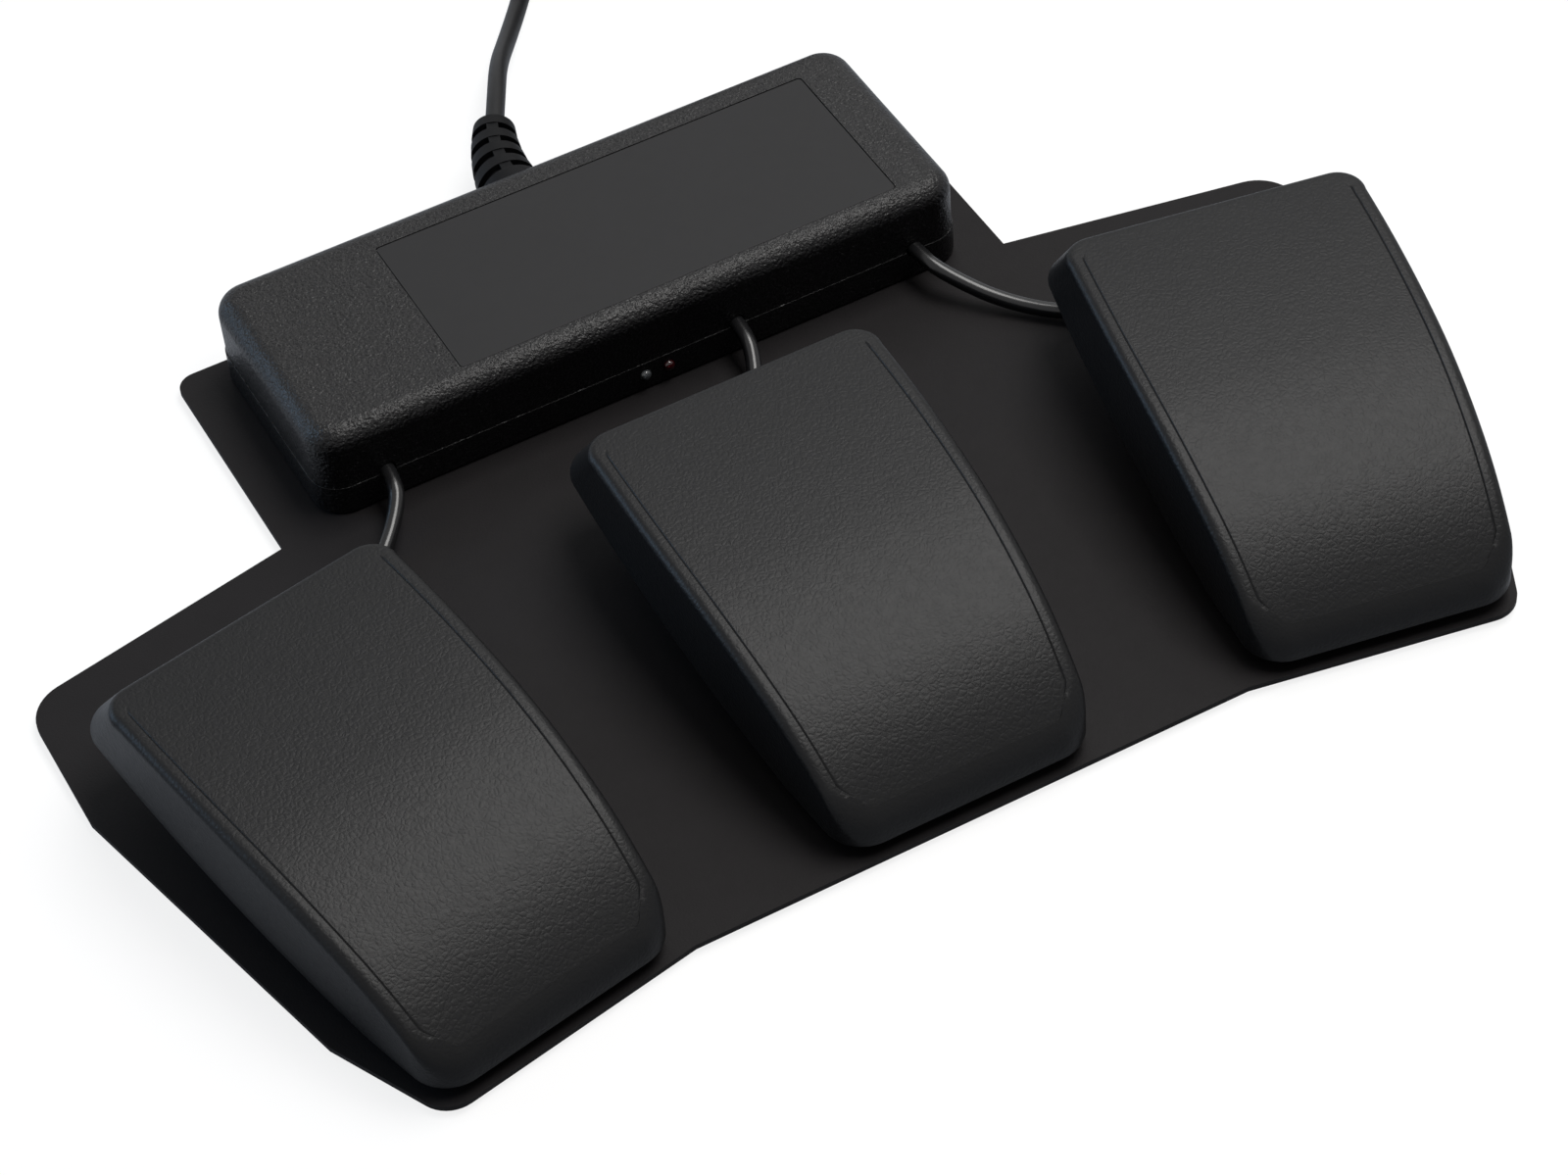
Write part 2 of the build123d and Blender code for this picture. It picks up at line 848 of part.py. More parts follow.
# The same pieces stand in each pedal's place on the plate
pedal_pieces = {
    "pedal_cap": pedal_cap,
    "pedal_base": pedal_base,
    "hinge_pin": hinge_pin,
    "return_spring": return_spring,
    "switch_case": switch_case,
    "switch_lever": switch_lever,
    "switch_button": switch_button,
    "switch_terminals": switch_terminals,
    "bump_stops": bump_stops,
}
for side in sides:
    for name, piece in pedal_pieces.items():
        with BuildPart() as placed_piece:
            with Locations(seats[side].location):
                add(piece.part)
        save(placed_piece, f"{name}_{side}")
    save(pedal_lead(side, seats[side]), f"pedal_lead_{side}")

# Pan-head screws that hold the three switches to their bases
with BuildPart() as switch_screws:
    for side in sides:
        with BuildSketch(side_plane(seats[side], -switch_width / 2)):
            with Locations(*switch_screw_spots):
                Circle(screw_radius)
        extrude(amount=switch_width + switch_wall_gap + switch_wall_thickness)
        with BuildSketch(side_plane(seats[side], -switch_width / 2 - pan_head_height)):
            with Locations(*switch_screw_spots):
                Circle(pan_head_radius)
        extrude(amount=pan_head_height)
        with BuildSketch(side_plane(seats[side], -switch_width / 2 - pan_head_height)):
            with Locations(*switch_screw_spots):
                Rectangle(recess_length, recess_width)
                Rectangle(recess_width, recess_length)
        extrude(amount=recess_depth, mode=Mode.SUBTRACT)
save(switch_screws, "switch_screws")


# Control box
module_y = shoulder_y + module_front + module_depth / 2
panel_y = shoulder_y + module_front + panel_front + panel_depth / 2
module_floor = plate_top + module_wall
seam_z = plate_top + module_seam
module_top = plate_top + module_height
box_front = shoulder_y + module_front
box_rear = box_front + module_depth
relief_z = plate_top + relief_height


def module_outline(inset, mode=Mode.ADD):
    """Draw the control box's rounded outline, drawn in by the inset."""
    with Locations((module_shift, module_y)):
        RectangleRounded(
            2 * (module_half_length - inset),
            module_depth - 2 * inset,
            module_corner - inset,
            mode=mode,
        )


def wall_plane(along):
    """Return an upright plane across the box, with x to the right and y up."""
    return Plane(origin=(0, along, 0), x_dir=(1, 0, 0), z_dir=(0, -1, 0))


def cut_wall_holes():
    """Cut the openings for the leads and for the cord's strain relief."""
    with BuildSketch(wall_plane(box_front)) as lead_holes:
        with Locations(*[(place, plate_top + lead_exit_height) for place in lead_exits.values()]):
            Circle(lead_radius + lead_hole_clearance)
    extrude(lead_holes.sketch, amount=-2 * module_wall, mode=Mode.SUBTRACT)
    with BuildSketch(wall_plane(box_rear)) as neck_hole:
        with Locations((relief_centre, relief_z)):
            Circle(relief_neck_radius + relief_neck_clearance)
    extrude(neck_hole.sketch, amount=2 * module_wall, mode=Mode.SUBTRACT)
    with BuildSketch(wall_plane(box_rear - module_wall)) as flange_room:
        with Locations((relief_centre, relief_z)):
            Circle(relief_root_radius + relief_neck_clearance)
    extrude(flange_room.sketch, amount=2 * module_wall, mode=Mode.SUBTRACT)


with BuildPart() as module_base:
    with BuildSketch(Plane.XY.offset(plate_top)):
        module_outline(0)
    extrude(amount=module_seam)
    chamfer(module_base.faces().sort_by(Axis.Z)[0].edges(), length=module_foot_chamfer)
    with BuildSketch(Plane.XY.offset(module_floor)):
        module_outline(module_wall)
    extrude(amount=module_seam, mode=Mode.SUBTRACT)
    board_screw_spots = [
        (across, along)
        for across in (-board_screw_spread, board_screw_spread)
        for along in (
            box_front + board_front + board_screw_inset,
            box_front + board_front + board_depth - board_screw_inset,
        )
    ]
    with BuildSketch(Plane.XY.offset(module_floor)):
        with Locations(*board_screw_spots):
            Circle(standoff_radius)
    extrude(amount=board_lift)
    with BuildSketch(Plane.XY.offset(module_floor + board_lift)):
        with Locations(*board_screw_spots):
            Circle(board_screw_radius + thread_clearance)
    extrude(amount=-board_screw_bite, mode=Mode.SUBTRACT)
    with BuildSketch(Plane.XY.offset(plate_top)):
        with Locations(*module_screw_spots):
            Circle(screw_radius + screw_clearance)
    extrude(amount=module_wall, mode=Mode.SUBTRACT)
    with BuildSketch(wall_plane(box_front)):
        with Locations(*[(place, plate_top + led_height) for place in led_places.values()]):
            Circle(led_radius + led_clearance)
    extrude(amount=-2 * module_wall, mode=Mode.SUBTRACT)
    cut_wall_holes()
save(module_base, "module_base")

with BuildPart() as module_lid:
    with BuildSketch(Plane.XY.offset(seam_z)):
        module_outline(0)
    extrude(amount=module_height - module_seam)
    fillet(module_lid.faces().sort_by(Axis.Z)[-1].edges(), radius=module_top_round)
    with BuildSketch(Plane.XY.offset(seam_z)):
        module_outline(module_wall)
    extrude(amount=module_height - module_seam - module_wall, mode=Mode.SUBTRACT)
    with BuildSketch(Plane.XY.offset(seam_z)):
        module_outline(module_wall / 2)
        module_outline(module_wall + lip_clearance + lip_thickness, mode=Mode.SUBTRACT)
    extrude(amount=lip_thickness)
    with BuildSketch(Plane.XY.offset(seam_z)):
        module_outline(module_wall + lip_clearance)
        module_outline(module_wall + lip_clearance + lip_thickness, mode=Mode.SUBTRACT)
    extrude(amount=-lip_depth)
    with BuildSketch(Plane.XY.offset(module_floor)):
        with Locations(*module_screw_spots):
            Circle(post_radius)
    extrude(amount=module_top - module_wall / 2 - module_floor)
    with BuildSketch(Plane.XY.offset(module_floor)):
        with Locations(*module_screw_spots):
            Circle(screw_radius + thread_clearance)
    extrude(amount=module_screw_bite, mode=Mode.SUBTRACT)
    with BuildSketch(Plane.XY.offset(module_top)):
        with Locations((panel_centre, panel_y)):
            RectangleRounded(
                panel_length + 2 * panel_clearance, panel_depth + 2 * panel_clearance, panel_corner
            )
    extrude(amount=-panel_recess, mode=Mode.SUBTRACT)
    cut_wall_holes()
save(module_lid, "module_lid")

# Plain panel in the lid's recess
with BuildPart() as label_panel:
    with BuildSketch(Plane.XY.offset(module_top - panel_recess)):
        with Locations((panel_centre, panel_y)):
            RectangleRounded(panel_length, panel_depth, panel_corner)
    extrude(amount=panel_thickness)
save(label_panel, "label_panel")

# Circuit board and what is soldered to it
board_bottom = module_floor + board_lift
board_top = board_bottom + board_thickness
board_rear = box_front + board_front + board_depth

with BuildPart() as circuit_board:
    with BuildSketch(Plane.XY.offset(board_bottom)):
        with Locations((0, box_front + board_front + board_depth / 2)):
            Rectangle(2 * board_half_length, board_depth)
        with Locations(*module_screw_spots):
            Circle(post_radius + board_hole_clearance, mode=Mode.SUBTRACT)
        with Locations(*board_screw_spots):
            Circle(board_screw_radius + screw_clearance, mode=Mode.SUBTRACT)
    extrude(amount=board_thickness)
save(circuit_board, "circuit_board")

with BuildPart() as board_screws:
    with BuildSketch(Plane.XY.offset(board_bottom - board_screw_bite + screw_tip_room)):
        with Locations(*board_screw_spots):
            Circle(board_screw_radius)
    extrude(amount=board_screw_bite - screw_tip_room + board_thickness)
    with BuildSketch(Plane.XY.offset(board_top)):
        with Locations(*board_screw_spots):
            Circle(board_screw_head)
    extrude(amount=board_screw_head_height)
    with BuildSketch(Plane.XY.offset(board_top + board_screw_head_height)):
        with Locations(*board_screw_spots):
            Rectangle(recess_length, recess_width)
            Rectangle(recess_width, recess_length)
    extrude(amount=-recess_depth, mode=Mode.SUBTRACT)
save(board_screws, "board_screws")

with BuildPart() as controller_chip:
    with BuildSketch(Plane.XY.offset(board_top)):
        with Locations((chip_place[0], shoulder_y + chip_place[1])):
            Rectangle(chip_size, chip_size)
    extrude(amount=chip_thickness)
    chamfer(controller_chip.faces().sort_by(Axis.Z)[-1].edges(), length=chip_chamfer)
save(controller_chip, "controller_chip")

with BuildPart() as lead_headers:
    with BuildSketch(Plane.XY.offset(board_top)):
        with Locations(*[(place, box_front + header_place) for place in lead_exits.values()]):
            Rectangle(header_width, header_depth, align=(Align.CENTER, Align.MIN))
    extrude(amount=header_height)
save(lead_headers, "lead_headers")

with BuildPart() as usb_header:
    with BuildSketch(Plane.XY.offset(board_top)):
        with Locations((relief_centre, board_rear)):
            Rectangle(header_width, header_depth, align=(Align.CENTER, Align.MAX))
    extrude(amount=usb_header_height)
save(usb_header, "usb_header")

for name, place in led_places.items():
    front_plane = Plane(
        origin=(place, box_front - led_stand, plate_top + led_height),
        x_dir=(1, 0, 0),
        z_dir=(0, 1, 0),
    )
    with BuildPart() as led:
        with BuildSketch(front_plane):
            Circle(led_radius)
        extrude(amount=led_length)
        fillet(led.edges().sort_by(Axis.Y)[0], radius=led_dome_share * led_radius)
        with BuildSketch(front_plane.offset(led_length - led_flange_thickness)):
            Circle(led_flange_radius)
        extrude(amount=led_flange_thickness)
        with BuildSketch(front_plane.offset(led_length)):
            with Locations((-led_leg_spacing / 2, 0), (led_leg_spacing / 2, 0)):
                Rectangle(led_leg_width, led_leg_width)
        extrude(amount=board_front + led_stand - led_length + led_leg_overlap)
    save(led, name)


# Strain relief, a tapered ribbed boot that bends a little to the right
relief_length = relief_flange + relief_rings * (relief_slot + relief_ring) + relief_tip
relief_bend = relief_length / math.radians(relief_turn)


def relief_station(along):
    """Return the plane across the strain relief at a length along its bent axis."""
    turn = along / relief_bend
    return Plane(
        origin=(
            relief_centre + relief_bend * (1 - math.cos(turn)),
            box_rear + relief_bend * math.sin(turn),
            relief_z,
        ),
        x_dir=(math.cos(turn), -math.sin(turn), 0),
        z_dir=(math.sin(turn), math.cos(turn), 0),
    )


def relief_radius(along):
    """Return the strain relief's outer radius at a length along its axis."""
    share = along / relief_length
    return relief_root_radius + (relief_tip_radius - relief_root_radius) * share


def relief_band(start, end, start_radius, end_radius):
    """Add one solid ring of the strain relief."""
    with BuildSketch(relief_station(start)) as near_face:
        Circle(start_radius)
    with BuildSketch(relief_station(end)) as far_face:
        Circle(end_radius)
    loft([near_face.sketch, far_face.sketch], ruled=True)


def relief_gap(start, end):
    """Add one slotted stretch: a core with four ribs along it."""
    faces = []
    for place in (start, end):
        radius = relief_radius(place)
        with BuildSketch(relief_station(place)) as face:
            Circle(radius - relief_slot_depth)
            Rectangle(2 * (radius - relief_rib_drop), relief_rib_width)
            Rectangle(relief_rib_width, 2 * (radius - relief_rib_drop))
        faces.append(face.sketch)
    loft(faces, ruled=True)


with BuildPart() as strain_relief:
    relief_band(0, relief_flange, relief_root_radius, relief_radius(relief_flange))
    for ring in range(relief_rings):
        slot_start = relief_flange + ring * (relief_slot + relief_ring)
        ring_start = slot_start + relief_slot
        ring_end = ring_start + relief_ring
        relief_gap(slot_start, ring_start)
        relief_band(ring_start, ring_end, relief_radius(ring_start), relief_radius(ring_end))
    relief_band(
        relief_length - relief_tip, relief_length, relief_radius(relief_length), relief_end_radius
    )
    with BuildSketch(relief_station(0)):
        Circle(relief_neck_radius)
    extrude(amount=-module_wall)
    with BuildSketch(relief_station(0).offset(-module_wall)):
        Circle(relief_root_radius)
    extrude(amount=-relief_inner_flange)
save(strain_relief, "strain_relief")

# Short tail of the cord inside the control box
with BuildPart() as cord_tail:
    with BuildSketch(relief_station(0).offset(-module_wall - relief_inner_flange)):
        Circle(cord_radius)
    extrude(amount=-(box_rear - module_wall - relief_inner_flange - board_rear))
save(cord_tail, "cord_tail")


# Free cord from the strain relief to the coil
heading = math.radians(coil_heading)
coil_forward = Vector(math.cos(heading), math.sin(heading), 0)
coil_right = Vector(math.sin(heading), -math.cos(heading), 0)
cord_level = cord_radius + cord_lift
coil_start = Vector(coil_entry[0], coil_entry[1], cord_level)
relief_end = relief_station(relief_length)
cord_exit = relief_end.origin + relief_end.z_dir * cord_exit_run
cord_entry = coil_start - coil_forward * cord_entry_run

with BuildPart() as usb_cord:
    cord_points = [relief_end.origin, cord_exit]
    cord_points += [Vector(*point) for point in cord_route]
    cord_points += [cord_entry, coil_start]
    cord_radii = corner_radii(cord_points)
    with BuildLine() as cord_line:
        FilletPolyline(*cord_points, radius=cord_radii)
    with BuildSketch(Plane(origin=cord_line.line @ 0, z_dir=cord_line.line % 0)):
        Circle(cord_radius)
    sweep()
    report_tube("usb_cord", usb_cord.part, cord_radius, cord_line.wire().length, cord_radii)
save(usb_cord, "usb_cord")


# Coil of the cord: the loops spiral in and out in layers, then curl in on top
coil_outer = coil_radius + coil_turns_in_layer * coil_pitch / 2
coil_begin = coil_start + coil_forward * 2 * cord_radius
coil_centre = coil_begin + coil_right * coil_outer
coil_turns = coil_layers * coil_turns_in_layer
plug_level = (coil_layers - 1) * coil_layer_pitch + cord_radius + plug_lie_gap + plug_thickness / 2


def coil_reach(turn):
    """Return the coil's radius after so many turns, widening still as it leaves the top."""
    if turn > coil_turns:
        return coil_outer + coil_pitch * (turn - coil_turns)
    lap, into = divmod(turn, coil_turns_in_layer)
    depth = into if lap % 2 == 0 else coil_turns_in_layer - into
    return coil_outer - coil_pitch * depth


def coil_rise(turn):
    """Return how high the cord lies over the coil's first layer after so many turns."""
    height = 0.0
    for layer in range(1, coil_layers + 1):
        step = coil_layer_pitch
        climb_start = layer * coil_turns_in_layer - coil_climb_share / 2
        if layer == coil_layers:
            step = plug_level - (coil_layers - 1) * coil_layer_pitch
            climb_start = coil_turns
        share = min(max((turn - climb_start) / coil_climb_share, 0), 1)
        height += step * (share - math.sin(2 * math.pi * share) / (2 * math.pi))
    return height


def coil_point(turn):
    """Return the place of the cord's centre after so many turns of the coil."""
    angle = 2 * math.pi * turn
    spoke = coil_forward * math.sin(angle) - coil_right * math.cos(angle)
    return coil_centre + spoke * coil_reach(turn) + Vector(0, 0, coil_rise(turn))


wound_steps = round((coil_turns + coil_climb_share) * coil_steps_in_turn)
coil_points = [coil_point(step / coil_steps_in_turn) for step in range(wound_steps + 1)]
coil_tangents = [coil_forward]
for step in range(1, wound_steps):
    ahead = coil_point((step + coil_reading_share) / coil_steps_in_turn)
    behind = coil_point((step - coil_reading_share) / coil_steps_in_turn)
    coil_tangents.append(unit(ahead - behind))
last_angle = 2 * math.pi * wound_steps / coil_steps_in_turn
last_spoke = coil_forward * math.sin(last_angle) - coil_right * math.cos(last_angle)
last_along = coil_forward * math.cos(last_angle) + coil_right * math.sin(last_angle)
coil_tangents.append(last_along)
curl_centre = coil_points[-1] - last_spoke * coil_curl_radius
coil_points.append(curl_centre + last_along * coil_curl_radius)
coil_tangents.append(last_spoke * -1)
coil_end = coil_points[-1] - last_spoke * 2 * cord_radius

with BuildPart() as usb_cord_coil:
    with BuildLine() as coil_line:
        Line(coil_start, coil_begin)
        biarc_line(coil_points, coil_tangents)
        Line(coil_points[-1], coil_end)
    with BuildSketch(Plane(origin=coil_line.line @ 0, z_dir=coil_line.line % 0)):
        Circle(cord_radius)
    sweep()
    report_tube("usb_cord_coil", usb_cord_coil.part, cord_radius, coil_line.wire().length, [])
save(usb_cord_coil, "usb_cord_coil")


def least_self_gap(line, radius, spacing):
    """Return the least gap between stretches of a tube that are not neighbours."""
    count = int(line.length / spacing)
    places = [line.position_at(step / count) for step in range(count + 1)]
    skip = int(math.pi * self_gap_span * radius / spacing)
    least = min(
        (places[first] - places[second]).length
        for first in range(len(places))
        for second in range(first + skip, len(places))
    )
    return least - 2 * radius


print("coil least self gap", round(least_self_gap(coil_line.wire(), cord_radius, cord_radius), 2))
print("whole cord", round(cord_line.wire().length + coil_line.wire().length, 1))

# Usb plug, lying on the coil
plug_plane = Plane(
    origin=coil_end, x_dir=last_along * -1, z_dir=last_spoke * -1
)
grip_face = plug_plane.offset(plug_neck_length + plug_grip_length)

with BuildPart() as usb_plug_grip:
    with BuildSketch(plug_plane):
        Circle(plug_neck_radius)
    with BuildSketch(plug_plane.offset(plug_neck_length)):
        Ellipse(plug_width / 2 - plug_corner, plug_thickness / 2)
    loft()
    with BuildSketch(plug_plane.offset(plug_neck_length)):
        RectangleRounded(plug_width, plug_thickness, plug_corner)
    extrude(amount=plug_grip_length)
save(usb_plug_grip, "usb_plug_grip")

with BuildPart() as usb_plug_shell:
    with BuildSketch(grip_face):
        RectangleRounded(shell_width, shell_thickness, shell_corner)
        RectangleRounded(
            shell_width - 2 * shell_wall,
            shell_thickness - 2 * shell_wall,
            shell_corner - shell_wall,
            mode=Mode.SUBTRACT,
        )
    extrude(amount=shell_length)
    window_plane = Plane(
        origin=grip_face.origin + grip_face.z_dir * window_place,
        x_dir=grip_face.x_dir,
        z_dir=grip_face.y_dir,
    )
    with BuildSketch(window_plane):
        with Locations((-window_offset, 0), (window_offset, 0)):
            Rectangle(window_size, window_size)
    extrude(amount=shell_thickness, both=True, mode=Mode.SUBTRACT)
save(usb_plug_shell, "usb_plug_shell")

tongue_shift = shell_thickness / 2 - shell_wall - tongue_thickness / 2 - thread_clearance

with BuildPart() as usb_plug_tongue:
    with BuildSketch(grip_face):
        with Locations((0, tongue_shift)):
            Rectangle(tongue_width, tongue_thickness)
    extrude(amount=tongue_length)
save(usb_plug_tongue, "usb_plug_tongue")

with BuildPart() as usb_plug_contacts:
    contact_level = tongue_shift - tongue_thickness / 2
    with BuildSketch(grip_face.offset(contact_inset)):
        middle = (contact_count - 1) / 2
        with Locations(
            *[((step - middle) * contact_pitch, contact_level) for step in range(contact_count)]
        ):
            Rectangle(contact_width, contact_thickness, align=(Align.CENTER, Align.MAX))
    extrude(amount=contact_length)
save(usb_plug_contacts, "usb_plug_contacts")
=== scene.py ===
"""Looks of the foot pedal switch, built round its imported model.

Three sprung pedals stand on a painted steel plate with a moulded control box, its leads
and a usb cord. Lengths are given in millimetres and turned into metres by MM.
"""

import json
import math

import bmesh
import bpy
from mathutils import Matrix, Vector


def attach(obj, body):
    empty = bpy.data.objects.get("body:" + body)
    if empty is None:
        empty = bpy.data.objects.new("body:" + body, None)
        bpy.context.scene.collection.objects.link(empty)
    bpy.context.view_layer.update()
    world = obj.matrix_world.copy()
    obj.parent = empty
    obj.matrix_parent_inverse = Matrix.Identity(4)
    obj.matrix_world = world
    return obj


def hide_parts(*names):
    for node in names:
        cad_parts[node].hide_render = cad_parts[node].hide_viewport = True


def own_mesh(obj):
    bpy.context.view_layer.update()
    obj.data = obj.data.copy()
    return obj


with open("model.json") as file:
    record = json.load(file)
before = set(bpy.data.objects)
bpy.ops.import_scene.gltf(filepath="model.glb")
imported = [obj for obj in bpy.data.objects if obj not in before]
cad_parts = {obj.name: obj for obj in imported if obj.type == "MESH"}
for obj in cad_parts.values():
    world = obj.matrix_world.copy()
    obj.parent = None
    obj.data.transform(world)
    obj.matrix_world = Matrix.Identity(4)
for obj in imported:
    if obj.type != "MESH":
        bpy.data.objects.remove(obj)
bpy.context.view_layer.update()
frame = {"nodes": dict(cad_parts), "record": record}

MM = 0.001
SIDES = ("left", "middle", "right")
PLATE_TOP = 3.0

# A pedal's inner works, in millimetres above the plate's top and behind its hinge
HINGE_UP = 9.0
SPRING_BACK, SPRING_SEAT, SPRING_HEAD, SPRING_ROOM = 20.0, 3.0, 22.0, 0.1
PRESS = math.radians(8.0)

# The hinge line's middle on the plate's top, and the way to the rear, for each pedal
SEATS = {
    "left": ((-112.5035, -77.3182), (-0.1856666, 0.9826128)),
    "middle": ((0.0, -69.857), (0.0, 1.0)),
    "right": ((112.5035, -77.3182), (0.1856666, 0.9826128)),
}


# ---------------------------------------------------------------- camera, light and floor
CAMERA_PLACE = (-0.28124, -0.62861, 0.71448)
CAMERA_TURN = (0.749755, 0.0636595, -0.4980073)
FOCAL_LENGTH, SENSOR_WIDTH = 95.43, 36.0


def set_camera():
    """Stand the camera where the photograph was taken from."""
    camera = bpy.data.cameras.new("camera")
    camera.lens = FOCAL_LENGTH
    camera.sensor_width = SENSOR_WIDTH
    camera.clip_start = 0.05
    holder = bpy.data.objects.new("camera", camera)
    bpy.context.scene.collection.objects.link(holder)
    holder.location = CAMERA_PLACE
    holder.rotation_euler = CAMERA_TURN
    bpy.context.scene.camera = holder


def add_lamp(name, place, target, size, power, colour):
    """Hang one soft box at a place and turn it to a target."""
    lamp = bpy.data.lights.new(name, "AREA")
    lamp.shape = "RECTANGLE"
    lamp.size, lamp.size_y = size
    lamp.energy = power
    lamp.color = colour
    holder = bpy.data.objects.new(name, lamp)
    bpy.context.scene.collection.objects.link(holder)
    holder.location = place
    aim = Vector(target) - Vector(place)
    holder.rotation_euler = aim.to_track_quat("-Z", "Y").to_euler()


def combined(tree, operation, first, second):
    """Return a value put together with another value or with a number."""
    made = tree.nodes.new("ShaderNodeMath")
    made.operation = operation
    tree.links.new(first, made.inputs[0])
    if isinstance(second, float):
        made.inputs[1].default_value = second
    else:
        tree.links.new(second, made.inputs[1])
    return made.outputs[0]


FILL_COLOUR, FILL_STRENGTH = (0.93, 0.96, 1.0, 1.0), 0.12
WHITE = (1.0, 1.0, 1.0, 1.0)


def set_world():
    """Give a dim even light, and white where the camera or a gloss looks past the object."""
    world = bpy.data.worlds.new("studio")
    bpy.context.scene.world = world
    world.use_nodes = True
    tree = world.node_tree
    tree.nodes.clear()
    paths = tree.nodes.new("ShaderNodeLightPath")
    fill = tree.nodes.new("ShaderNodeBackground")
    fill.inputs["Color"].default_value = FILL_COLOUR
    fill.inputs["Strength"].default_value = FILL_STRENGTH
    white = tree.nodes.new("ShaderNodeBackground")
    white.inputs["Color"].default_value = WHITE
    white.inputs["Strength"].default_value = 1.0
    seen = paths.outputs["Is Camera Ray"]
    for name in ("Is Glossy Ray", "Is Transmission Ray"):
        seen = combined(tree, "MAXIMUM", seen, paths.outputs[name])
    mix = tree.nodes.new("ShaderNodeMixShader")
    tree.links.new(seen, mix.inputs[0])
    tree.links.new(fill.outputs[0], mix.inputs[1])
    tree.links.new(white.outputs[0], mix.inputs[2])
    out = tree.nodes.new("ShaderNodeOutputWorld")
    tree.links.new(mix.outputs[0], out.inputs["Surface"])


FLOOR_REACH, FLOOR_LEVEL = 6.0, -0.0002
BOUNCE_TONE, SEEN_TONE = (0.36, 0.39, 0.44, 1.0), (0.86, 0.86, 0.86, 1.0)
CAMERA_GLOW, MIRROR_GLOW = 0.84, 0.2


def add_floor():
    """Lay a plain pale floor that keeps the object's shadow.

    It glows towards the camera, less in reflections, and throws little light back up.
    """
    mesh = bpy.data.meshes.new("floor")
    corners = [
        (FLOOR_REACH * across, FLOOR_REACH * back, FLOOR_LEVEL)
        for across, back in ((-1, -1), (1, -1), (1, 1), (-1, 1))
    ]
    mesh.from_pydata(corners, [], [(0, 1, 2, 3)])
    floor = bpy.data.objects.new("floor", mesh)
    bpy.context.scene.collection.objects.link(floor)
    material = bpy.data.materials.new("floor_paper")
    material.use_nodes = True
    tree = material.node_tree
    tree.nodes.clear()
    paths = tree.nodes.new("ShaderNodeLightPath")
    seen = paths.outputs["Is Camera Ray"]
    mirrored = combined(
        tree, "MAXIMUM", paths.outputs["Is Glossy Ray"], paths.outputs["Is Transmission Ray"]
    )
    tone = tree.nodes.new("ShaderNodeMix")
    tone.data_type = "RGBA"
    tone.inputs[6].default_value = BOUNCE_TONE
    tone.inputs[7].default_value = SEEN_TONE
    tree.links.new(seen, tone.inputs[0])
    paper = tree.nodes.new("ShaderNodeBsdfDiffuse")
    tree.links.new(tone.outputs[2], paper.inputs["Color"])
    glow = tree.nodes.new("ShaderNodeEmission")
    glow.inputs["Color"].default_value = WHITE
    glow.inputs["Strength"].default_value = 1.0
    share = combined(
        tree, "MAXIMUM",
        combined(tree, "MULTIPLY", seen, CAMERA_GLOW),
        combined(tree, "MULTIPLY", mirrored, MIRROR_GLOW),
    )
    mix = tree.nodes.new("ShaderNodeMixShader")
    tree.links.new(share, mix.inputs[0])
    tree.links.new(paper.outputs[0], mix.inputs[1])
    tree.links.new(glow.outputs[0], mix.inputs[2])
    out = tree.nodes.new("ShaderNodeOutputMaterial")
    tree.links.new(mix.outputs[0], out.inputs["Surface"])
    mesh.materials.append(material)


set_camera()
set_world()
# Each lamp's name, place, target, size, power and colour
for lamp in (
    ("top_box", (0.5, -0.02, 1.45), (0, 0, 0), (1.1, 0.7), 31.0, (1.0, 0.985, 0.965)),
    ("rear_box", (0.75, 0.95, 1.3), (0, 0, 0), (1.2, 0.9), 3.2, (0.96, 0.98, 1.0)),
    ("left_window", (-1.35, 1.05, 0.6), (0, 0, 0.03), (1.0, 0.7), 13.0, (0.42, 0.68, 1.0)),
):
    add_lamp(*lamp)
add_floor()
bpy.context.scene.view_settings.view_transform = "Standard"


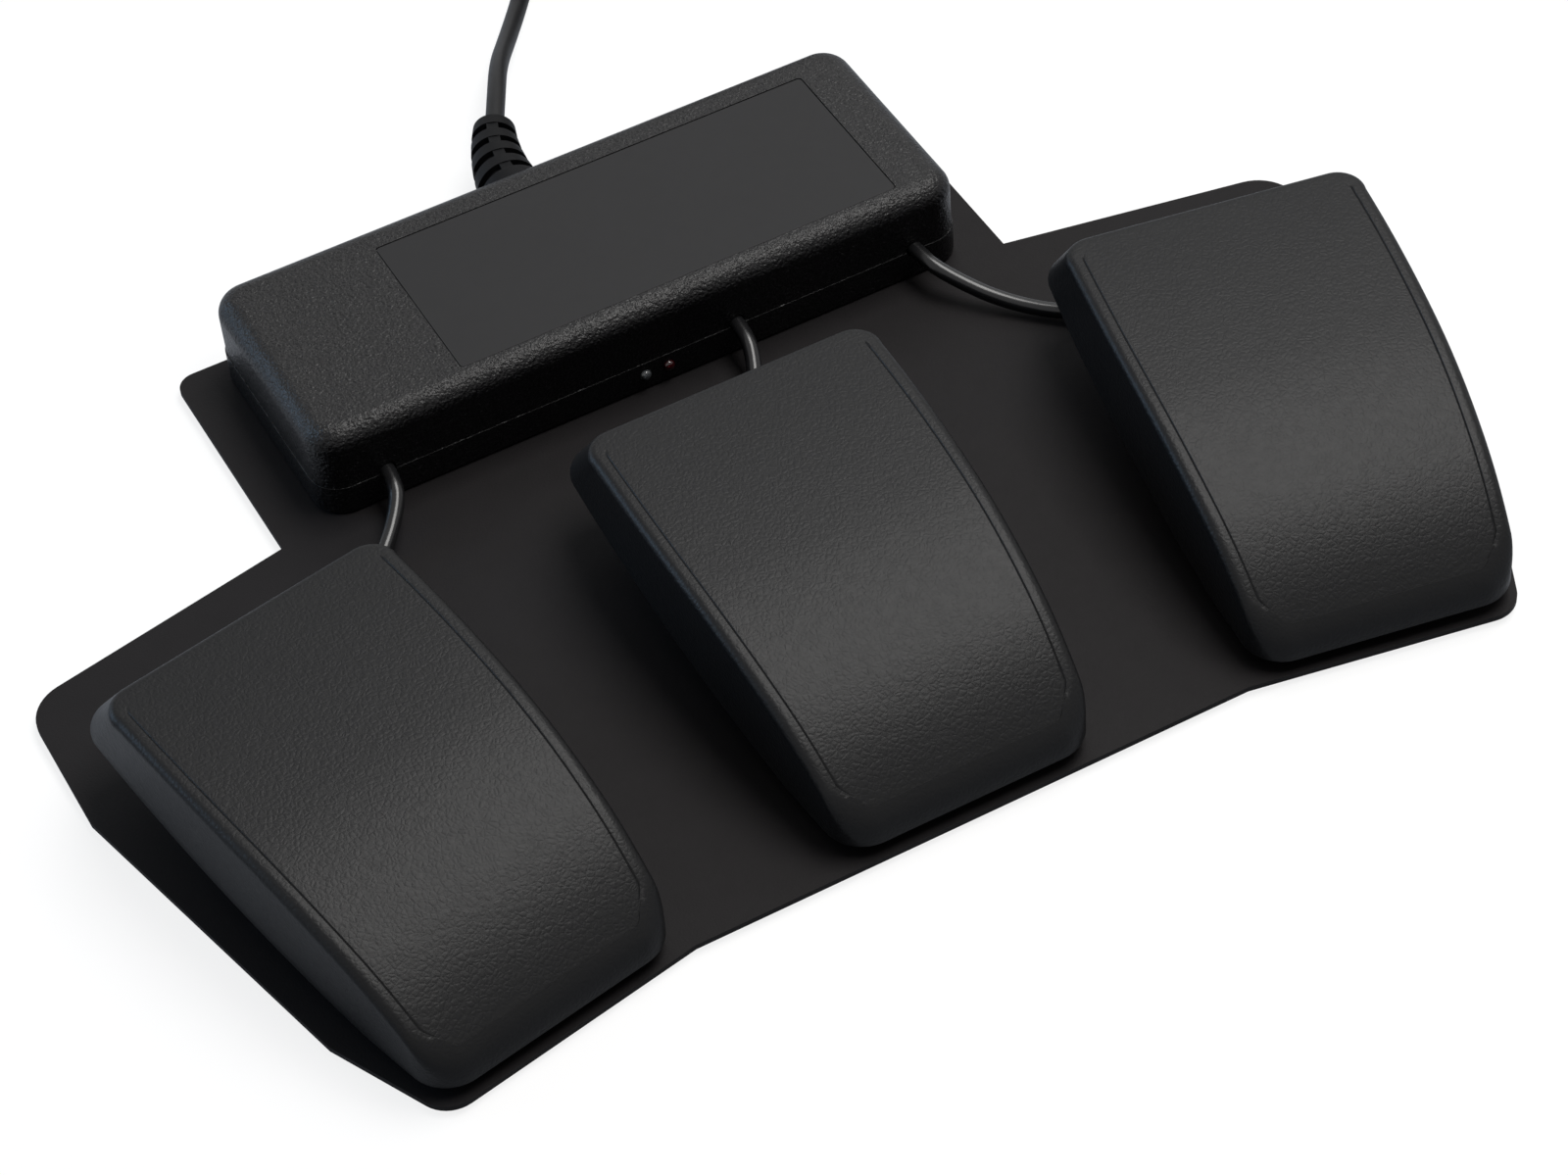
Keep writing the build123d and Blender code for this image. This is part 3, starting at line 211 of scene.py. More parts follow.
# ---------------------------------------------------------------- finishes
class Finish:
    """One procedural material with short ways to add its nodes."""

    def __init__(self, name, colour, roughness, **constants):
        self.material = bpy.data.materials.new(name)
        self.material.use_nodes = True
        self.tree = self.material.node_tree
        self.shader = self.tree.nodes["Principled BSDF"]
        self.shader.inputs["Base Color"].default_value = (*colour, 1.0)
        self.shader.inputs["Roughness"].default_value = roughness
        for words, value in constants.items():
            self.shader.inputs[words.replace("_", " ")].default_value = value
        self.place = self.add("ShaderNodeTexCoord").outputs["Object"]
        self.bumped = None

    def add(self, kind, inputs=None, **settings):
        """Add one node, with values or links for its inputs."""
        made = self.tree.nodes.new(kind)
        for key, value in settings.items():
            setattr(made, key, value)
        for key, value in (inputs or {}).items():
            socket = made.inputs[key]
            if isinstance(value, bpy.types.NodeSocket):
                self.tree.links.new(value, socket)
            else:
                socket.default_value = value
        return made

    def noise(self, size, detail=2.0, roughness=0.5):
        """Return soft noise whose lumps are about so many millimetres."""
        inputs = {"Vector": self.place, "Scale": 1 / (size * MM)}
        inputs.update({"Detail": detail, "Roughness": roughness})
        return self.add("ShaderNodeTexNoise", inputs).outputs["Fac"]

    def cells(self, size, feature="F1", place=None):
        """Return the distance inside cells of about so many millimetres."""
        inputs = {"Vector": place or self.place, "Scale": 1 / (size * MM)}
        return self.add("ShaderNodeTexVoronoi", inputs, feature=feature).outputs["Distance"]

    def spread(self, value, low, high, start=0.0, end=1.0):
        """Return the value moved from one range to another."""
        made = self.add(
            "ShaderNodeMapRange",
            {"Value": value, "From Min": start, "From Max": end, "To Min": low, "To Max": high},
        )
        return made.outputs["Result"]

    def colours(self, factor, low, high):
        """Paint between two colours by a factor."""
        made = self.add("ShaderNodeMix", data_type="RGBA")
        self.tree.links.new(factor, made.inputs["Factor"])
        made.inputs[6].default_value = (*low, 1.0)
        made.inputs[7].default_value = (*high, 1.0)
        self.tree.links.new(made.outputs[2], self.shader.inputs["Base Color"])

    def rough(self, factor, low, high):
        """Let the roughness vary between two values."""
        self.tree.links.new(self.spread(factor, low, high), self.shader.inputs["Roughness"])

    def bump(self, height, depth):
        """Raise the surface by a height of so many millimetres, over any bump before."""
        inputs = {"Height": height, "Distance": depth * MM, "Strength": 1.0}
        if self.bumped:
            inputs["Normal"] = self.bumped
        self.bumped = self.add("ShaderNodeBump", inputs).outputs["Normal"]
        self.tree.links.new(self.bumped, self.shader.inputs["Normal"])


def cap_plastic():
    """Moulded dark grey plastic with a fine leather grain."""
    made = Finish("cap_plastic", (0.0055, 0.0055, 0.0058), 0.42, Specular_IOR_Level=0.128)
    made.colours(made.noise(14.0, 3.0), (0.0046, 0.0046, 0.005), (0.0062, 0.0062, 0.0065))
    sway = made.add(
        "ShaderNodeTexNoise", {"Vector": made.place, "Scale": 1 / (3.0 * MM), "Detail": 1.0}
    ).outputs["Color"]
    shift = made.add("ShaderNodeVectorMath", {0: sway, "Scale": 1.2 * MM}, operation="SCALE")
    warped = made.add(
        "ShaderNodeVectorMath", {0: made.place, 1: shift.outputs[0]}, operation="ADD"
    )
    creases = made.cells(1.35, "DISTANCE_TO_EDGE", warped.outputs[0])
    made.rough(made.noise(2.4, 2.0), 0.385, 0.46)
    made.bump(made.spread(creases, 0.0, 1.0, 0.0, 0.3), 0.036)
    made.bump(made.noise(2.6, 3.0, 0.65), 0.07)
    made.bump(made.noise(0.4, 2.0), 0.026)
    return made.material


def box_plastic():
    """Moulded black plastic with an etched grain."""
    made = Finish("box_plastic", (0.0022, 0.002, 0.0023), 0.3, Specular_IOR_Level=0.19)
    made.colours(made.noise(18.0, 3.0), (0.0018, 0.0016, 0.0019), (0.0028, 0.0026, 0.0029))
    grain = made.noise(0.85, 2.0, 0.6)
    made.rough(grain, 0.23, 0.36)
    made.bump(grain, 0.42)
    made.bump(made.cells(0.7), 0.09)
    return made.material


def panel_plastic():
    """Smooth matt plastic sheet."""
    made = Finish("panel_plastic", (0.006, 0.0058, 0.0062), 0.5, Specular_IOR_Level=0.18)
    made.colours(made.noise(30.0, 2.0), (0.0054, 0.0052, 0.0056), (0.0068, 0.0066, 0.007))
    made.rough(made.noise(3.0, 2.0), 0.46, 0.56)
    made.bump(made.noise(0.25, 2.0), 0.006)
    return made.material


def plate_paint():
    """Near-black powder coat on steel, a little brown, with a fine orange peel."""
    made = Finish("plate_paint", (0.0078, 0.0071, 0.0074), 0.52, Specular_IOR_Level=0.075)
    made.colours(made.noise(9.0, 4.0, 0.6), (0.0068, 0.0061, 0.0064), (0.0092, 0.0084, 0.0088))
    made.rough(made.noise(1.2, 3.0), 0.46, 0.6)
    made.bump(made.noise(0.6, 2.0, 0.55), 0.05)
    return made.material


def rubber(name, low, high, roughness, grain=0.5, depth=0.02, gloss=0.2):
    """Dull rubber or soft vinyl with a faint grain."""
    made = Finish(name, low, sum(roughness) / 2, Specular_IOR_Level=gloss)
    made.colours(made.noise(6.0, 3.0), low, high)
    made.rough(made.noise(1.5, 2.0), *roughness)
    made.bump(made.noise(grain, 2.0), depth)
    return made.material


def steel(name, low, high, roughness):
    """Plain metal with fine marks."""
    made = Finish(name, low, sum(roughness) / 2, Metallic=1.0)
    made.colours(made.noise(2.5, 3.0), low, high)
    marks = made.noise(0.3, 3.0, 0.6)
    made.rough(marks, *roughness)
    made.bump(marks, 0.004)
    return made.material


def moulded(name, low, high, roughness, grain=0.4, depth=0.01, **constants):
    """Plain moulded plastic with a light spark finish."""
    made = Finish(name, low, sum(roughness) / 2, **constants)
    made.colours(made.noise(5.0, 3.0), low, high)
    made.rough(made.noise(1.0, 2.0), *roughness)
    made.bump(made.noise(grain, 2.0), depth)
    return made.material


def board_green():
    """Green solder mask over a copper weave."""
    made = Finish("board_green", (0.01, 0.09, 0.03), 0.3, Coat_Weight=0.3)
    made.colours(made.noise(4.0, 2.0), (0.008, 0.075, 0.026), (0.014, 0.11, 0.04))
    weave = made.add(
        "ShaderNodeTexWave", {"Vector": made.place, "Scale": 1 / (1.2 * MM), "Distortion": 0.3}
    ).outputs["Fac"]
    made.rough(weave, 0.25, 0.36)
    made.bump(weave, 0.01)
    return made.material


def lamp_resin(name, low, high):
    """Tinted clear resin of an indicator lamp."""
    made = Finish(name, low, 0.06, Transmission_Weight=0.85, IOR=1.5)
    made.colours(made.noise(1.2, 1.0), low, high)
    made.bump(made.noise(0.8, 1.0), 0.004)
    return made.material


def lead_plastic():
    """Glossy black sleeve of a pedal lead."""
    made = Finish("lead_plastic", (0.006, 0.006, 0.0065), 0.22, Specular_IOR_Level=0.3)
    made.colours(made.noise(4.0, 2.0), (0.005, 0.005, 0.0055), (0.008, 0.008, 0.0085))
    made.rough(made.noise(1.6, 2.0), 0.17, 0.27)
    made.bump(made.noise(1.1, 2.0), 0.012)
    return made.material


FINISHES = {
    "mat_rubber": rubber(
        "mat_rubber", (0.010, 0.010, 0.010), (0.016, 0.016, 0.016), (0.75, 0.9), 0.7, 0.05
    ),
    "plate_paint": plate_paint(),
    "screw_steel": steel("screw_steel", (0.32, 0.32, 0.33), (0.45, 0.45, 0.46), (0.28, 0.42)),
    "box_plastic": box_plastic(),
    "panel_plastic": panel_plastic(),
    "board_green": board_green(),
    "chip_black": moulded(
        "chip_black", (0.012, 0.012, 0.013), (0.02, 0.02, 0.021), (0.4, 0.55)
    ),
    "header_white": moulded(
        "header_white", (0.62, 0.6, 0.54), (0.7, 0.68, 0.62), (0.35, 0.5)
    ),
    "led_clear": lamp_resin("led_clear", (0.2, 0.22, 0.24), (0.3, 0.32, 0.34)),
    "led_red": lamp_resin("led_red", (0.10, 0.002, 0.006), (0.16, 0.004, 0.01)),
    "relief_rubber": rubber(
        "relief_rubber", (0.004, 0.004, 0.0044), (0.006, 0.006, 0.0064), (0.42, 0.55),
        0.6, 0.02, 0.05,
    ),
    "cord_rubber": rubber(
        "cord_rubber", (0.007, 0.007, 0.0075), (0.01, 0.01, 0.0105), (0.36, 0.46),
        0.7, 0.015, 0.14,
    ),
    "plug_plastic": moulded(
        "plug_plastic", (0.007, 0.007, 0.0075), (0.01, 0.01, 0.0105), (0.4, 0.55),
        0.5, 0.03, Specular_IOR_Level=0.25,
    ),
    "plug_steel": steel("plug_steel", (0.5, 0.5, 0.51), (0.62, 0.62, 0.63), (0.2, 0.34)),
    "contact_brass": steel(
        "contact_brass", (0.62, 0.43, 0.16), (0.76, 0.55, 0.24), (0.2, 0.34)
    ),
    "cap_plastic": cap_plastic(),
    "pedal_base_plastic": moulded(
        "pedal_base_plastic", (0.006, 0.006, 0.0065), (0.009, 0.009, 0.0095), (0.4, 0.55),
        0.6, 0.03, Specular_IOR_Level=0.2,
    ),
    "pin_steel": steel("pin_steel", (0.42, 0.42, 0.43), (0.55, 0.55, 0.56), (0.18, 0.3)),
    "spring_steel": steel(
        "spring_steel", (0.36, 0.35, 0.34), (0.5, 0.49, 0.47), (0.22, 0.36)
    ),
    "switch_plastic": moulded(
        "switch_plastic", (0.01, 0.01, 0.011), (0.015, 0.015, 0.016), (0.35, 0.5),
        0.5, 0.02, Specular_IOR_Level=0.3,
    ),
    "button_plastic": moulded(
        "button_plastic", (0.42, 0.05, 0.03), (0.5, 0.07, 0.04), (0.35, 0.45)
    ),
    "lead_plastic": lead_plastic(),
}

for row in frame["record"]["subparts"]:
    node = frame["nodes"][row["node"]]
    finish = FINISHES[row["material_slot"]]
    if not node.material_slots:
        node.data.materials.append(finish)
    for spot in node.material_slots:
        spot.material = finish


# ---------------------------------------------------------------- shared ways to make pieces
def link(name, data):
    """Link new data into the scene as an object at the origin."""
    made = bpy.data.objects.new(name, data)
    bpy.context.scene.collection.objects.link(made)
    return made


def settle(piece, body, slot, *nodes):
    """Finish a piece: its material, the body it rides on and the nodes it stands for."""
    if not piece.data.materials:
        piece.data.materials.append(FINISHES[slot])
    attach(piece, body)
    if nodes:
        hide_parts(*nodes)


def baked(piece, name):
    """Return the piece with its modifiers made into a plain mesh."""
    bpy.context.view_layer.update()
    graph = bpy.context.evaluated_depsgraph_get()
    mesh = bpy.data.meshes.new_from_object(piece.evaluated_get(graph), depsgraph=graph)
    bpy.data.objects.remove(piece)
    mesh.name = name
    return link(name, mesh)


BOX_CENTRE, BOX_REACH, BOX_CORNER = Vector((1.2, 85.453)), Vector((88.3, 32.65)), 8.0
LEDGE, WALL_SLACK = 0.28, 0.05
MERGE_WITHIN, FLAT_WITHIN = 2e-6, math.radians(0.3)
CREASE = math.radians(28.0)


def set_out(shape):
    """Move the box base's outer wall out, to a narrow ledge below the seam."""
    for vertex in shape.verts:
        spot = vertex.co.xy / MM - BOX_CENTRE
        held = Vector([
            max(min(value, limit - BOX_CORNER), BOX_CORNER - limit)
            for value, limit in zip(spot, BOX_REACH)
        ])
        away = spot - held
        if abs(away.length - BOX_CORNER) < WALL_SLACK:
            vertex.co.xy += away.normalized() * LEDGE * MM


def softened(node, name, edge, steps):
    """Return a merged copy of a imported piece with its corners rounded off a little."""
    shape = bmesh.new()
    shape.from_mesh(frame["nodes"][node].data)
    bmesh.ops.remove_doubles(shape, verts=shape.verts, dist=MERGE_WITHIN)
    if node == "module_base":
        set_out(shape)
    bmesh.ops.dissolve_limit(
        shape, angle_limit=FLAT_WITHIN, verts=shape.verts, edges=shape.edges
    )
    for face in shape.faces:
        face.smooth = True
    for edge_line in shape.edges:
        if len(edge_line.link_faces) == 2:
            edge_line.smooth = edge_line.calc_face_angle(0.0) < CREASE
    mesh = bpy.data.meshes.new(name)
    shape.to_mesh(mesh)
    shape.free()
    piece = link(name + "_raw", mesh)
    if edge:
        bevel = piece.modifiers.new("edges", "BEVEL")
        bevel.width = edge * MM
        bevel.segments = steps
        bevel.limit_method = "ANGLE"
        bevel.angle_limit = CREASE
        bevel.use_clamp_overlap = True
        bevel.harden_normals = False
    flat = piece.modifiers.new("flats", "WEIGHTED_NORMAL")
    flat.mode = "FACE_AREA"
    flat.keep_sharp = not edge
    return baked(piece, name)


def seated(side, across, back, up):
    """Return the place in the frame of a point given from one pedal's seat."""
    (seat_x, seat_y), (back_x, back_y) = SEATS[side]
    return Vector((
        (seat_x + back_y * across + back_x * back) * MM,
        (seat_y - back_x * across + back_y * back) * MM,
        (PLATE_TOP + up) * MM,
    ))


# ---------------------------------------------------------------- cords
def free_line(name, points, diameter):
    """Return a smooth round cord whose control points are given in millimetres."""
    curve = bpy.data.curves.new(name, "CURVE")
    curve.dimensions = "3D"
    curve.bevel_depth = diameter / 2 * MM
    curve.bevel_resolution = 6
    curve.use_fill_caps = True
    curve.resolution_u = 8
    spline = curve.splines.new("NURBS")
    spline.points.add(len(points) - 1)
    for spot, point in zip(spline.points, points):
        spot.co = (point[0] * MM, point[1] * MM, point[2] * MM, 1.0)
    spline.order_u = 3
    spline.use_endpoint_u = True
    return link(name, curve)


CORD_ROUTE = [
    (5.413, 149.037, 15.2), (11.093, 159.721, 15.2), (18.3, 174.4, 11.8), (27.0, 188.5, 6.2),
    (38.0, 204.6, 2.55), (52.319, 224.237, 2.55), (67.3, 246.7, 2.55),
]


def coil_points():
    """Return the points of the put-away coil, which winds in and out in layers."""
    heading = math.radians(56.3)
    forward = Vector((math.cos(heading), math.sin(heading), 0))
    right = Vector((math.sin(heading), -math.cos(heading), 0))
    outer, pitch, layer_pitch, last_pitch = 33.9, 5.6, 5.5, 6.7
    layers, lap_turns, climb, curl, lead_in = 4, 2.25, 0.5, 21.0, 5.0
    turns = layers * lap_turns
    centre = Vector(CORD_ROUTE[-1]) + forward * lead_in + right * outer

    def reach(turn):
        if turn > turns:
            return outer + pitch * (turn - turns)
        lap, into = divmod(turn, lap_turns)
        return outer - pitch * (into if lap % 2 == 0 else lap_turns - into)

    def rise(turn):
        height = 0.0
        for layer in range(1, layers + 1):
            last = layer == layers
            begin = turns if last else layer * lap_turns - climb / 2
            share = min(max((turn - begin) / climb, 0.0), 1.0)
            eased = share - math.sin(2 * math.pi * share) / (2 * math.pi)
            height += (last_pitch if last else layer_pitch) * eased
        return height

    points = []
    turn_steps, curl_steps = 24, 6
    for step in range(1, round((turns + climb) * turn_steps) + 1):
        turn = step / turn_steps
        angle = 2 * math.pi * turn
        spoke = forward * math.sin(angle) - right * math.cos(angle)
        points.append(centre + spoke * reach(turn) + Vector((0, 0, rise(turn))))
    angle = 2 * math.pi * (turns + climb)
    spoke = forward * math.sin(angle) - right * math.cos(angle)
    along = forward * math.cos(angle) + right * math.sin(angle)
    pivot = points[-1] - spoke * curl
    for step in range(1, curl_steps + 1):
        sweep = math.pi / 2 * step / curl_steps
        points.append(pivot + (spoke * math.cos(sweep) + along * math.sin(sweep)) * curl)
    points.append(points[-1] - spoke * lead_in)
    return points


usb_cord = free_line("usb_cord_line", CORD_ROUTE + [tuple(p) for p in coil_points()], 5.0)
settle(usb_cord, "base", "cord_rubber", "usb_cord", "usb_cord_coil")

# The leads' seen routes and whole lengths; each ends at its pedal's switch
LEAD_END_BACKS, LEAD_END_UP = (81.0, 69.0), 6.8
LEAD_ROUTES = {
    "left": (
        [(-69.8, 62.803, 12.4), (-69.8, 48.5, 12.4), (-73.0, 42.0, 9.3), (-81.5, 32.5, 6.0),
         (-95.5, 20.0, 5.2), (-109.5, 12.0, 7.0)], 0.1012,
    ),
    "middle": (
        [(25.3, 62.803, 12.4), (25.3, 48.5, 12.4), (23.6, 41.5, 9.6), (18.5, 31.5, 6.4),
         (9.5, 22.5, 7.2)], 0.0727,
    ),
    "right": (
        [(75.2, 62.803, 12.4), (75.2, 48.5, 12.4), (79.0, 41.0, 10.0), (87.0, 30.5, 6.4),
         (98.0, 19.5, 5.2), (111.0, 11.0, 7.0)], 0.0970,
    ),
}
for side, (route, length) in LEAD_ROUTES.items():
    tail = [tuple(seated(side, 0, back, LEAD_END_UP) / MM) for back in LEAD_END_BACKS]
    lead = free_line(f"lead_{side}", route + tail, 4.0)
    settle(lead, "base", "lead_plastic", f"pedal_lead_{side}")


# ---------------------------------------------------------------- pedal caps
# Lengths of a cap: its ends behind the hinge, its roundings, wall, rims and groove
REAR, FRONT = 77.0, -36.0
REAR_LEAN = 16.5
REAR_TOP_ROUND, REAR_FOOT_ROUND, FRONT_ROUND = 7.0, 9.0, 10.0
WALL, RIM, FRONT_RIM = 2.5, 2.2, 13.0
WALL_INSIDE = 1.2
GROOVE, GROOVE_DEPTH, PATCH_INSET = 3.8, 0.25, 5.2
FOOT_ROUND = 0.35


def tread_arcs():
    """Return the three tangent arcs of the tread as (start, end, centre, radius)."""
    places = [
        Vector((REAR, 40.0)), Vector((26.9975, 36.0)), Vector((-7.185, 27.76)),
        Vector((FRONT, 9.0)),
    ]
    heading = Vector((-math.cos(math.radians(2.0)), -math.sin(math.radians(2.0))))
    arcs = []
    for start, end in zip(places, places[1:]):
        chord = end - start
        side_way = Vector((-heading.y, heading.x))
        radius = chord.length_squared / (2 * chord.dot(side_way))
        arcs.append((start.x, end.x, start + side_way * radius, abs(radius)))
        unit = chord.normalized()
        heading = unit * (2 * unit.dot(heading)) - heading
    return arcs


TREAD_ARCS = tread_arcs()


def tread(back):
    """Return the tread's height at a distance behind the hinge."""
    for start, end, centre, radius in TREAD_ARCS:
        if back >= end or end == FRONT:
            return centre.y + math.sqrt(radius**2 - (back - centre.x) ** 2)


def tread_slope(back):
    """Return how steeply the tread falls towards the front."""
    probe = 0.01
    return (tread(back + probe) - tread(back - probe)) / (2 * probe)


def skirt(back):
    """Return the height of the skirt's lower edge."""
    foot, kink = REAR + REAR_LEAN, -11.14
    high, low, fore = 20.0, 4.5, 3.4
    if back > kink:
        return low + (high - low) * (back - kink) / (foot - kink)
    return low + (fore - low) * (kink - back) / (kink - FRONT)


def cap_outline(rear_end, rear_round):
    """Return one level's plan, clockwise from the rear right corner.

    It comes in four runs of the same counts at every level. Each row is a point
    (across, back) and the way out of the cap there.
    """
    rear, waist, fore = Vector((38.0, REAR)), Vector((37.0, 20.5)), Vector((32.0, FRONT))
    span = 2 * (
        rear.x * (waist.y - fore.y) + waist.x * (fore.y - rear.y) + fore.x * (rear.y - waist.y)
    )
    centre = Vector((
        (rear.length_squared * (waist.y - fore.y) + waist.length_squared * (fore.y - rear.y)
         + fore.length_squared * (rear.y - waist.y)) / span,
        (rear.length_squared * (fore.x - waist.x) + waist.length_squared * (rear.x - fore.x)
         + fore.length_squared * (waist.x - rear.x)) / span,
    ))
    radius = (rear - centre).length
    quarter = math.pi / 2
    corner_steps, side_steps, end_steps = 8, 56, 12

    def corner(back, round_off):
        reach = math.sqrt((radius - round_off) ** 2 - (back - centre.y) ** 2)
        return Vector((centre.x + reach, back)), math.atan2(back - centre.y, reach)

    def turn(spot, size, start, end, count):
        rows = []
        for step in range(count):
            angle = start + (end - start) * step / count
            way = Vector((math.cos(angle), math.sin(angle)))
            rows.append((spot + way * size, way))
        return rows

    def straight(spot, back, way, count):
        return [(Vector((spot.x * (1 - step / count), back)), way) for step in range(count)]

    def flip(rows):
        return [(Vector((-p.x, p.y)), Vector((-w.x, w.y))) for p, w in rows]

    rear_spot, rear_turn = corner(rear_end - rear_round, rear_round)
    fore_spot, fore_turn = corner(FRONT + FRONT_ROUND, FRONT_ROUND)
    rear_mid, fore_mid = (quarter + rear_turn) / 2, (fore_turn - quarter) / 2
    right = turn(rear_spot, rear_round, rear_mid, rear_turn, corner_steps)
    right += turn(centre, radius, rear_turn, fore_turn, side_steps)
    right += turn(fore_spot, FRONT_ROUND, fore_turn, fore_mid, corner_steps)
    front_half = turn(fore_spot, FRONT_ROUND, fore_mid, -quarter, corner_steps)
    front_half += straight(fore_spot, FRONT, Vector((0, -1)), end_steps)
    rear_half = turn(rear_spot, rear_round, rear_mid, quarter, corner_steps)
    rear_half += straight(rear_spot, rear_end, Vector((0, 1)), end_steps)
    front = front_half + [(Vector((0, FRONT)), Vector((0, -1)))] + flip(front_half[:0:-1])
    left = flip([front_half[0]] + right[:0:-1])
    rear_run = flip(rear_half) + [(Vector((0, rear_end)), Vector((0, 1)))] + rear_half[:0:-1]
    return right, front, left, rear_run


def groove_share(way):
    """Return how deep the groove is by the way out: full at the sides, none across the ends."""
    if way.y > 0:
        return min(max(1.12 - way.y / 0.6, 0.0), 1.0)
    return min(max(1.15 - 2.1 * math.asin(min(-way.y, 1.0)) / (math.pi / 2), 0.0), 1.0)


def cap_shell(shape):
    """Add the cap's closed shell to a mesh: its rear wall leans, its sides stand upright."""
    runs = cap_outline(REAR, REAR_TOP_ROUND)
    low_runs = cap_outline(REAR + REAR_LEAN, REAR_FOOT_ROUND)
    top_rows = [row for run in runs for row in run]
    low_rows = [row for run in low_runs for row in run]
    rows = [(top, way, low, low_way) for (top, way), (low, low_way) in zip(top_rows, low_rows)]
    count = len(rows)
    starts = [sum(len(run) for run in runs[:index]) for index in range(4)]
    rows_down, rows_across = len(runs[0]), len(runs[1])

    def ring(place):
        made = []
        for row in rows:
            spot, up = place(*row)
            made.append(shape.verts.new((spot.x, spot.y, up)))
        return made

    def bridge(lower, upper):
        for index in range(count):
            after = (index + 1) % count
            shape.faces.new((lower[after], lower[index], upper[index], upper[after]))

    def slants(top, way, low):
        """Return the wall's lean from upright and the tread's fall, both outwards."""
        lean = math.atan2(max((low - top).dot(way), 0.0), tread(top.y) - skirt(low.y))
        return lean, math.atan(-tread_slope(top.y) * way.y)

    def rim_size(top, way, low):
        """Return the rounding's radius, which grows across the front until no wall is left."""
        lean, tilt = slants(top, way, low)
        share = min(max(-way.y * 1.15, 0.0), 1.0) ** 1.5
        room = (tread(top.y) - skirt(low.y) - 0.7) / math.tan((math.pi / 2 - tilt) / 2)
        return RIM + (max(min(room, FRONT_RIM), RIM) - RIM) * share

    def rim_point(top, way, low, t):
        lean, tilt = slants(top, way, low)
        size = rim_size(top, way, low)
        spread = math.cos(lean + tilt)
        turn = lean + (math.pi / 2 - tilt - lean) * t
        inset = size * ((math.cos(tilt) - math.sin(lean)) / spread - math.cos(turn))
        drop = size * ((math.cos(lean) - math.sin(tilt)) / spread - math.sin(turn))
        return top - way * inset, tread(top.y) - drop

    def rim(t):
        return lambda top, way, low, low_way: rim_point(top, way, low, t)

    def wall(t):
        def place(top, way, low, low_way):
            spot, up = rim_point(top, way, low, 0.0)
            foot_up = skirt(low.y) + FOOT_ROUND
            return low.lerp(spot, t), foot_up + (up - foot_up) * t
        return place

    def level(inset, dip=0.0):
        """Place a ring on the tread; where the rounding is wide, it lies further in."""
        def place(top, way, low, low_way):
            edge_spot, _ = rim_point(top, way, low, 1.0)
            past = max((top - edge_spot).dot(way) - RIM, 0.0)
            share = max(PATCH_INSET - inset, 0.0) / (PATCH_INSET - RIM)
            spot = top - way * (inset + past * share)
            return spot, tread(spot.y) - dip * groove_share(way)
        return place

    def edge(inset, lift):
        def place(top, way, low, low_way):
            lean, _ = slants(top, way, low)
            spot = low - low_way * (inset / math.cos(lean))
            return spot, skirt(spot.y) + lift
        return place

    def ceiling(inset=None):
        """Place a ring under the tread: at the wall's inside, or so far in from the rim."""
        def place(top, way, low, low_way):
            if inset is None:
                lean, _ = slants(top, way, low)
                share = WALL / (tread(top.y) - skirt(low.y))
                spot = top.lerp(low, share) - way * (WALL / math.cos(lean))
            else:
                spot = top - way * inset
            return spot, under(spot.y)
        return place

    def under(back):
        return tread(back) - WALL * math.sqrt(1 + tread_slope(back) ** 2)

    def patch(border, height, hollow=False):
        """Fill a ring with a grid that follows the tread."""
        side_r, side_f, side_l, side_b = [
            [border[(start + step) % count] for step in range(length + 1)]
            for start, length in zip(starts, (rows_down, rows_across) * 2)
        ]
        side_l.reverse()
        side_b.reverse()
        grid = []
        for row in range(rows_down + 1):
            line = []
            t = row / rows_down
            for column in range(rows_across + 1):
                s = column / rows_across
                if row == 0:
                    vertex = side_b[column]
                elif row == rows_down:
                    vertex = side_f[column]
                elif column == 0:
                    vertex = side_r[row]
                elif column == rows_across:
                    vertex = side_l[row]
                else:
                    flat = (
                        side_r[row].co * (1 - s) + side_l[row].co * s
                        + side_b[column].co * (1 - t) + side_f[column].co * t
                        - side_b[0].co * (1 - s) * (1 - t) - side_b[rows_across].co * s * (1 - t)
                        - side_f[0].co * (1 - s) * t - side_f[rows_across].co * s * t
                    )
                    vertex = shape.verts.new((flat.x, flat.y, height(flat.y)))
                line.append(vertex)
            grid.append(line)
        for row in range(rows_down):
            for column in range(rows_across):
                corners = (
                    grid[row][column], grid[row + 1][column],
                    grid[row + 1][column + 1], grid[row][column + 1],
                )
                shape.faces.new(corners if hollow else corners[::-1])

    # The foot's edge as pairs of how far in and how high, then the wall, rim and tread
    foot = ((FOOT_ROUND, 0.0), (0.1, 0.1), (0.0, FOOT_ROUND))
    outer = [ring(edge(inset, lift)) for inset, lift in foot]
    outer += [ring(wall(t)) for t in (0.12, 0.3, 0.5, 0.7, 0.88, 0.97)]
    outer += [ring(rim(step / 9)) for step in range(10)]
    outer += [ring(level(inset)) for inset in (2.5, 2.9, 3.35)]
    outer += [
        ring(level(GROOVE + shift, dip))
        for shift, dip in (
            (-0.28, 0.02), (-0.14, 0.16), (0.0, GROOVE_DEPTH), (0.14, 0.16), (0.28, 0.02),
        )
    ]
    outer += [ring(level(4.5)), ring(level(PATCH_INSET))]
    for lower, upper in zip(outer, outer[1:]):
        bridge(lower, upper)
    patch(outer[-1], tread)

    inner = [ring(edge(WALL - inset, lift)) for inset, lift in foot]
    inner += [ring(ceiling()), ring(ceiling(PATCH_INSET))]
    bridge(inner[0], outer[0])
    for lower, upper in zip(inner, inner[1:]):
        bridge(upper, lower)
    patch(inner[-1], under, True)


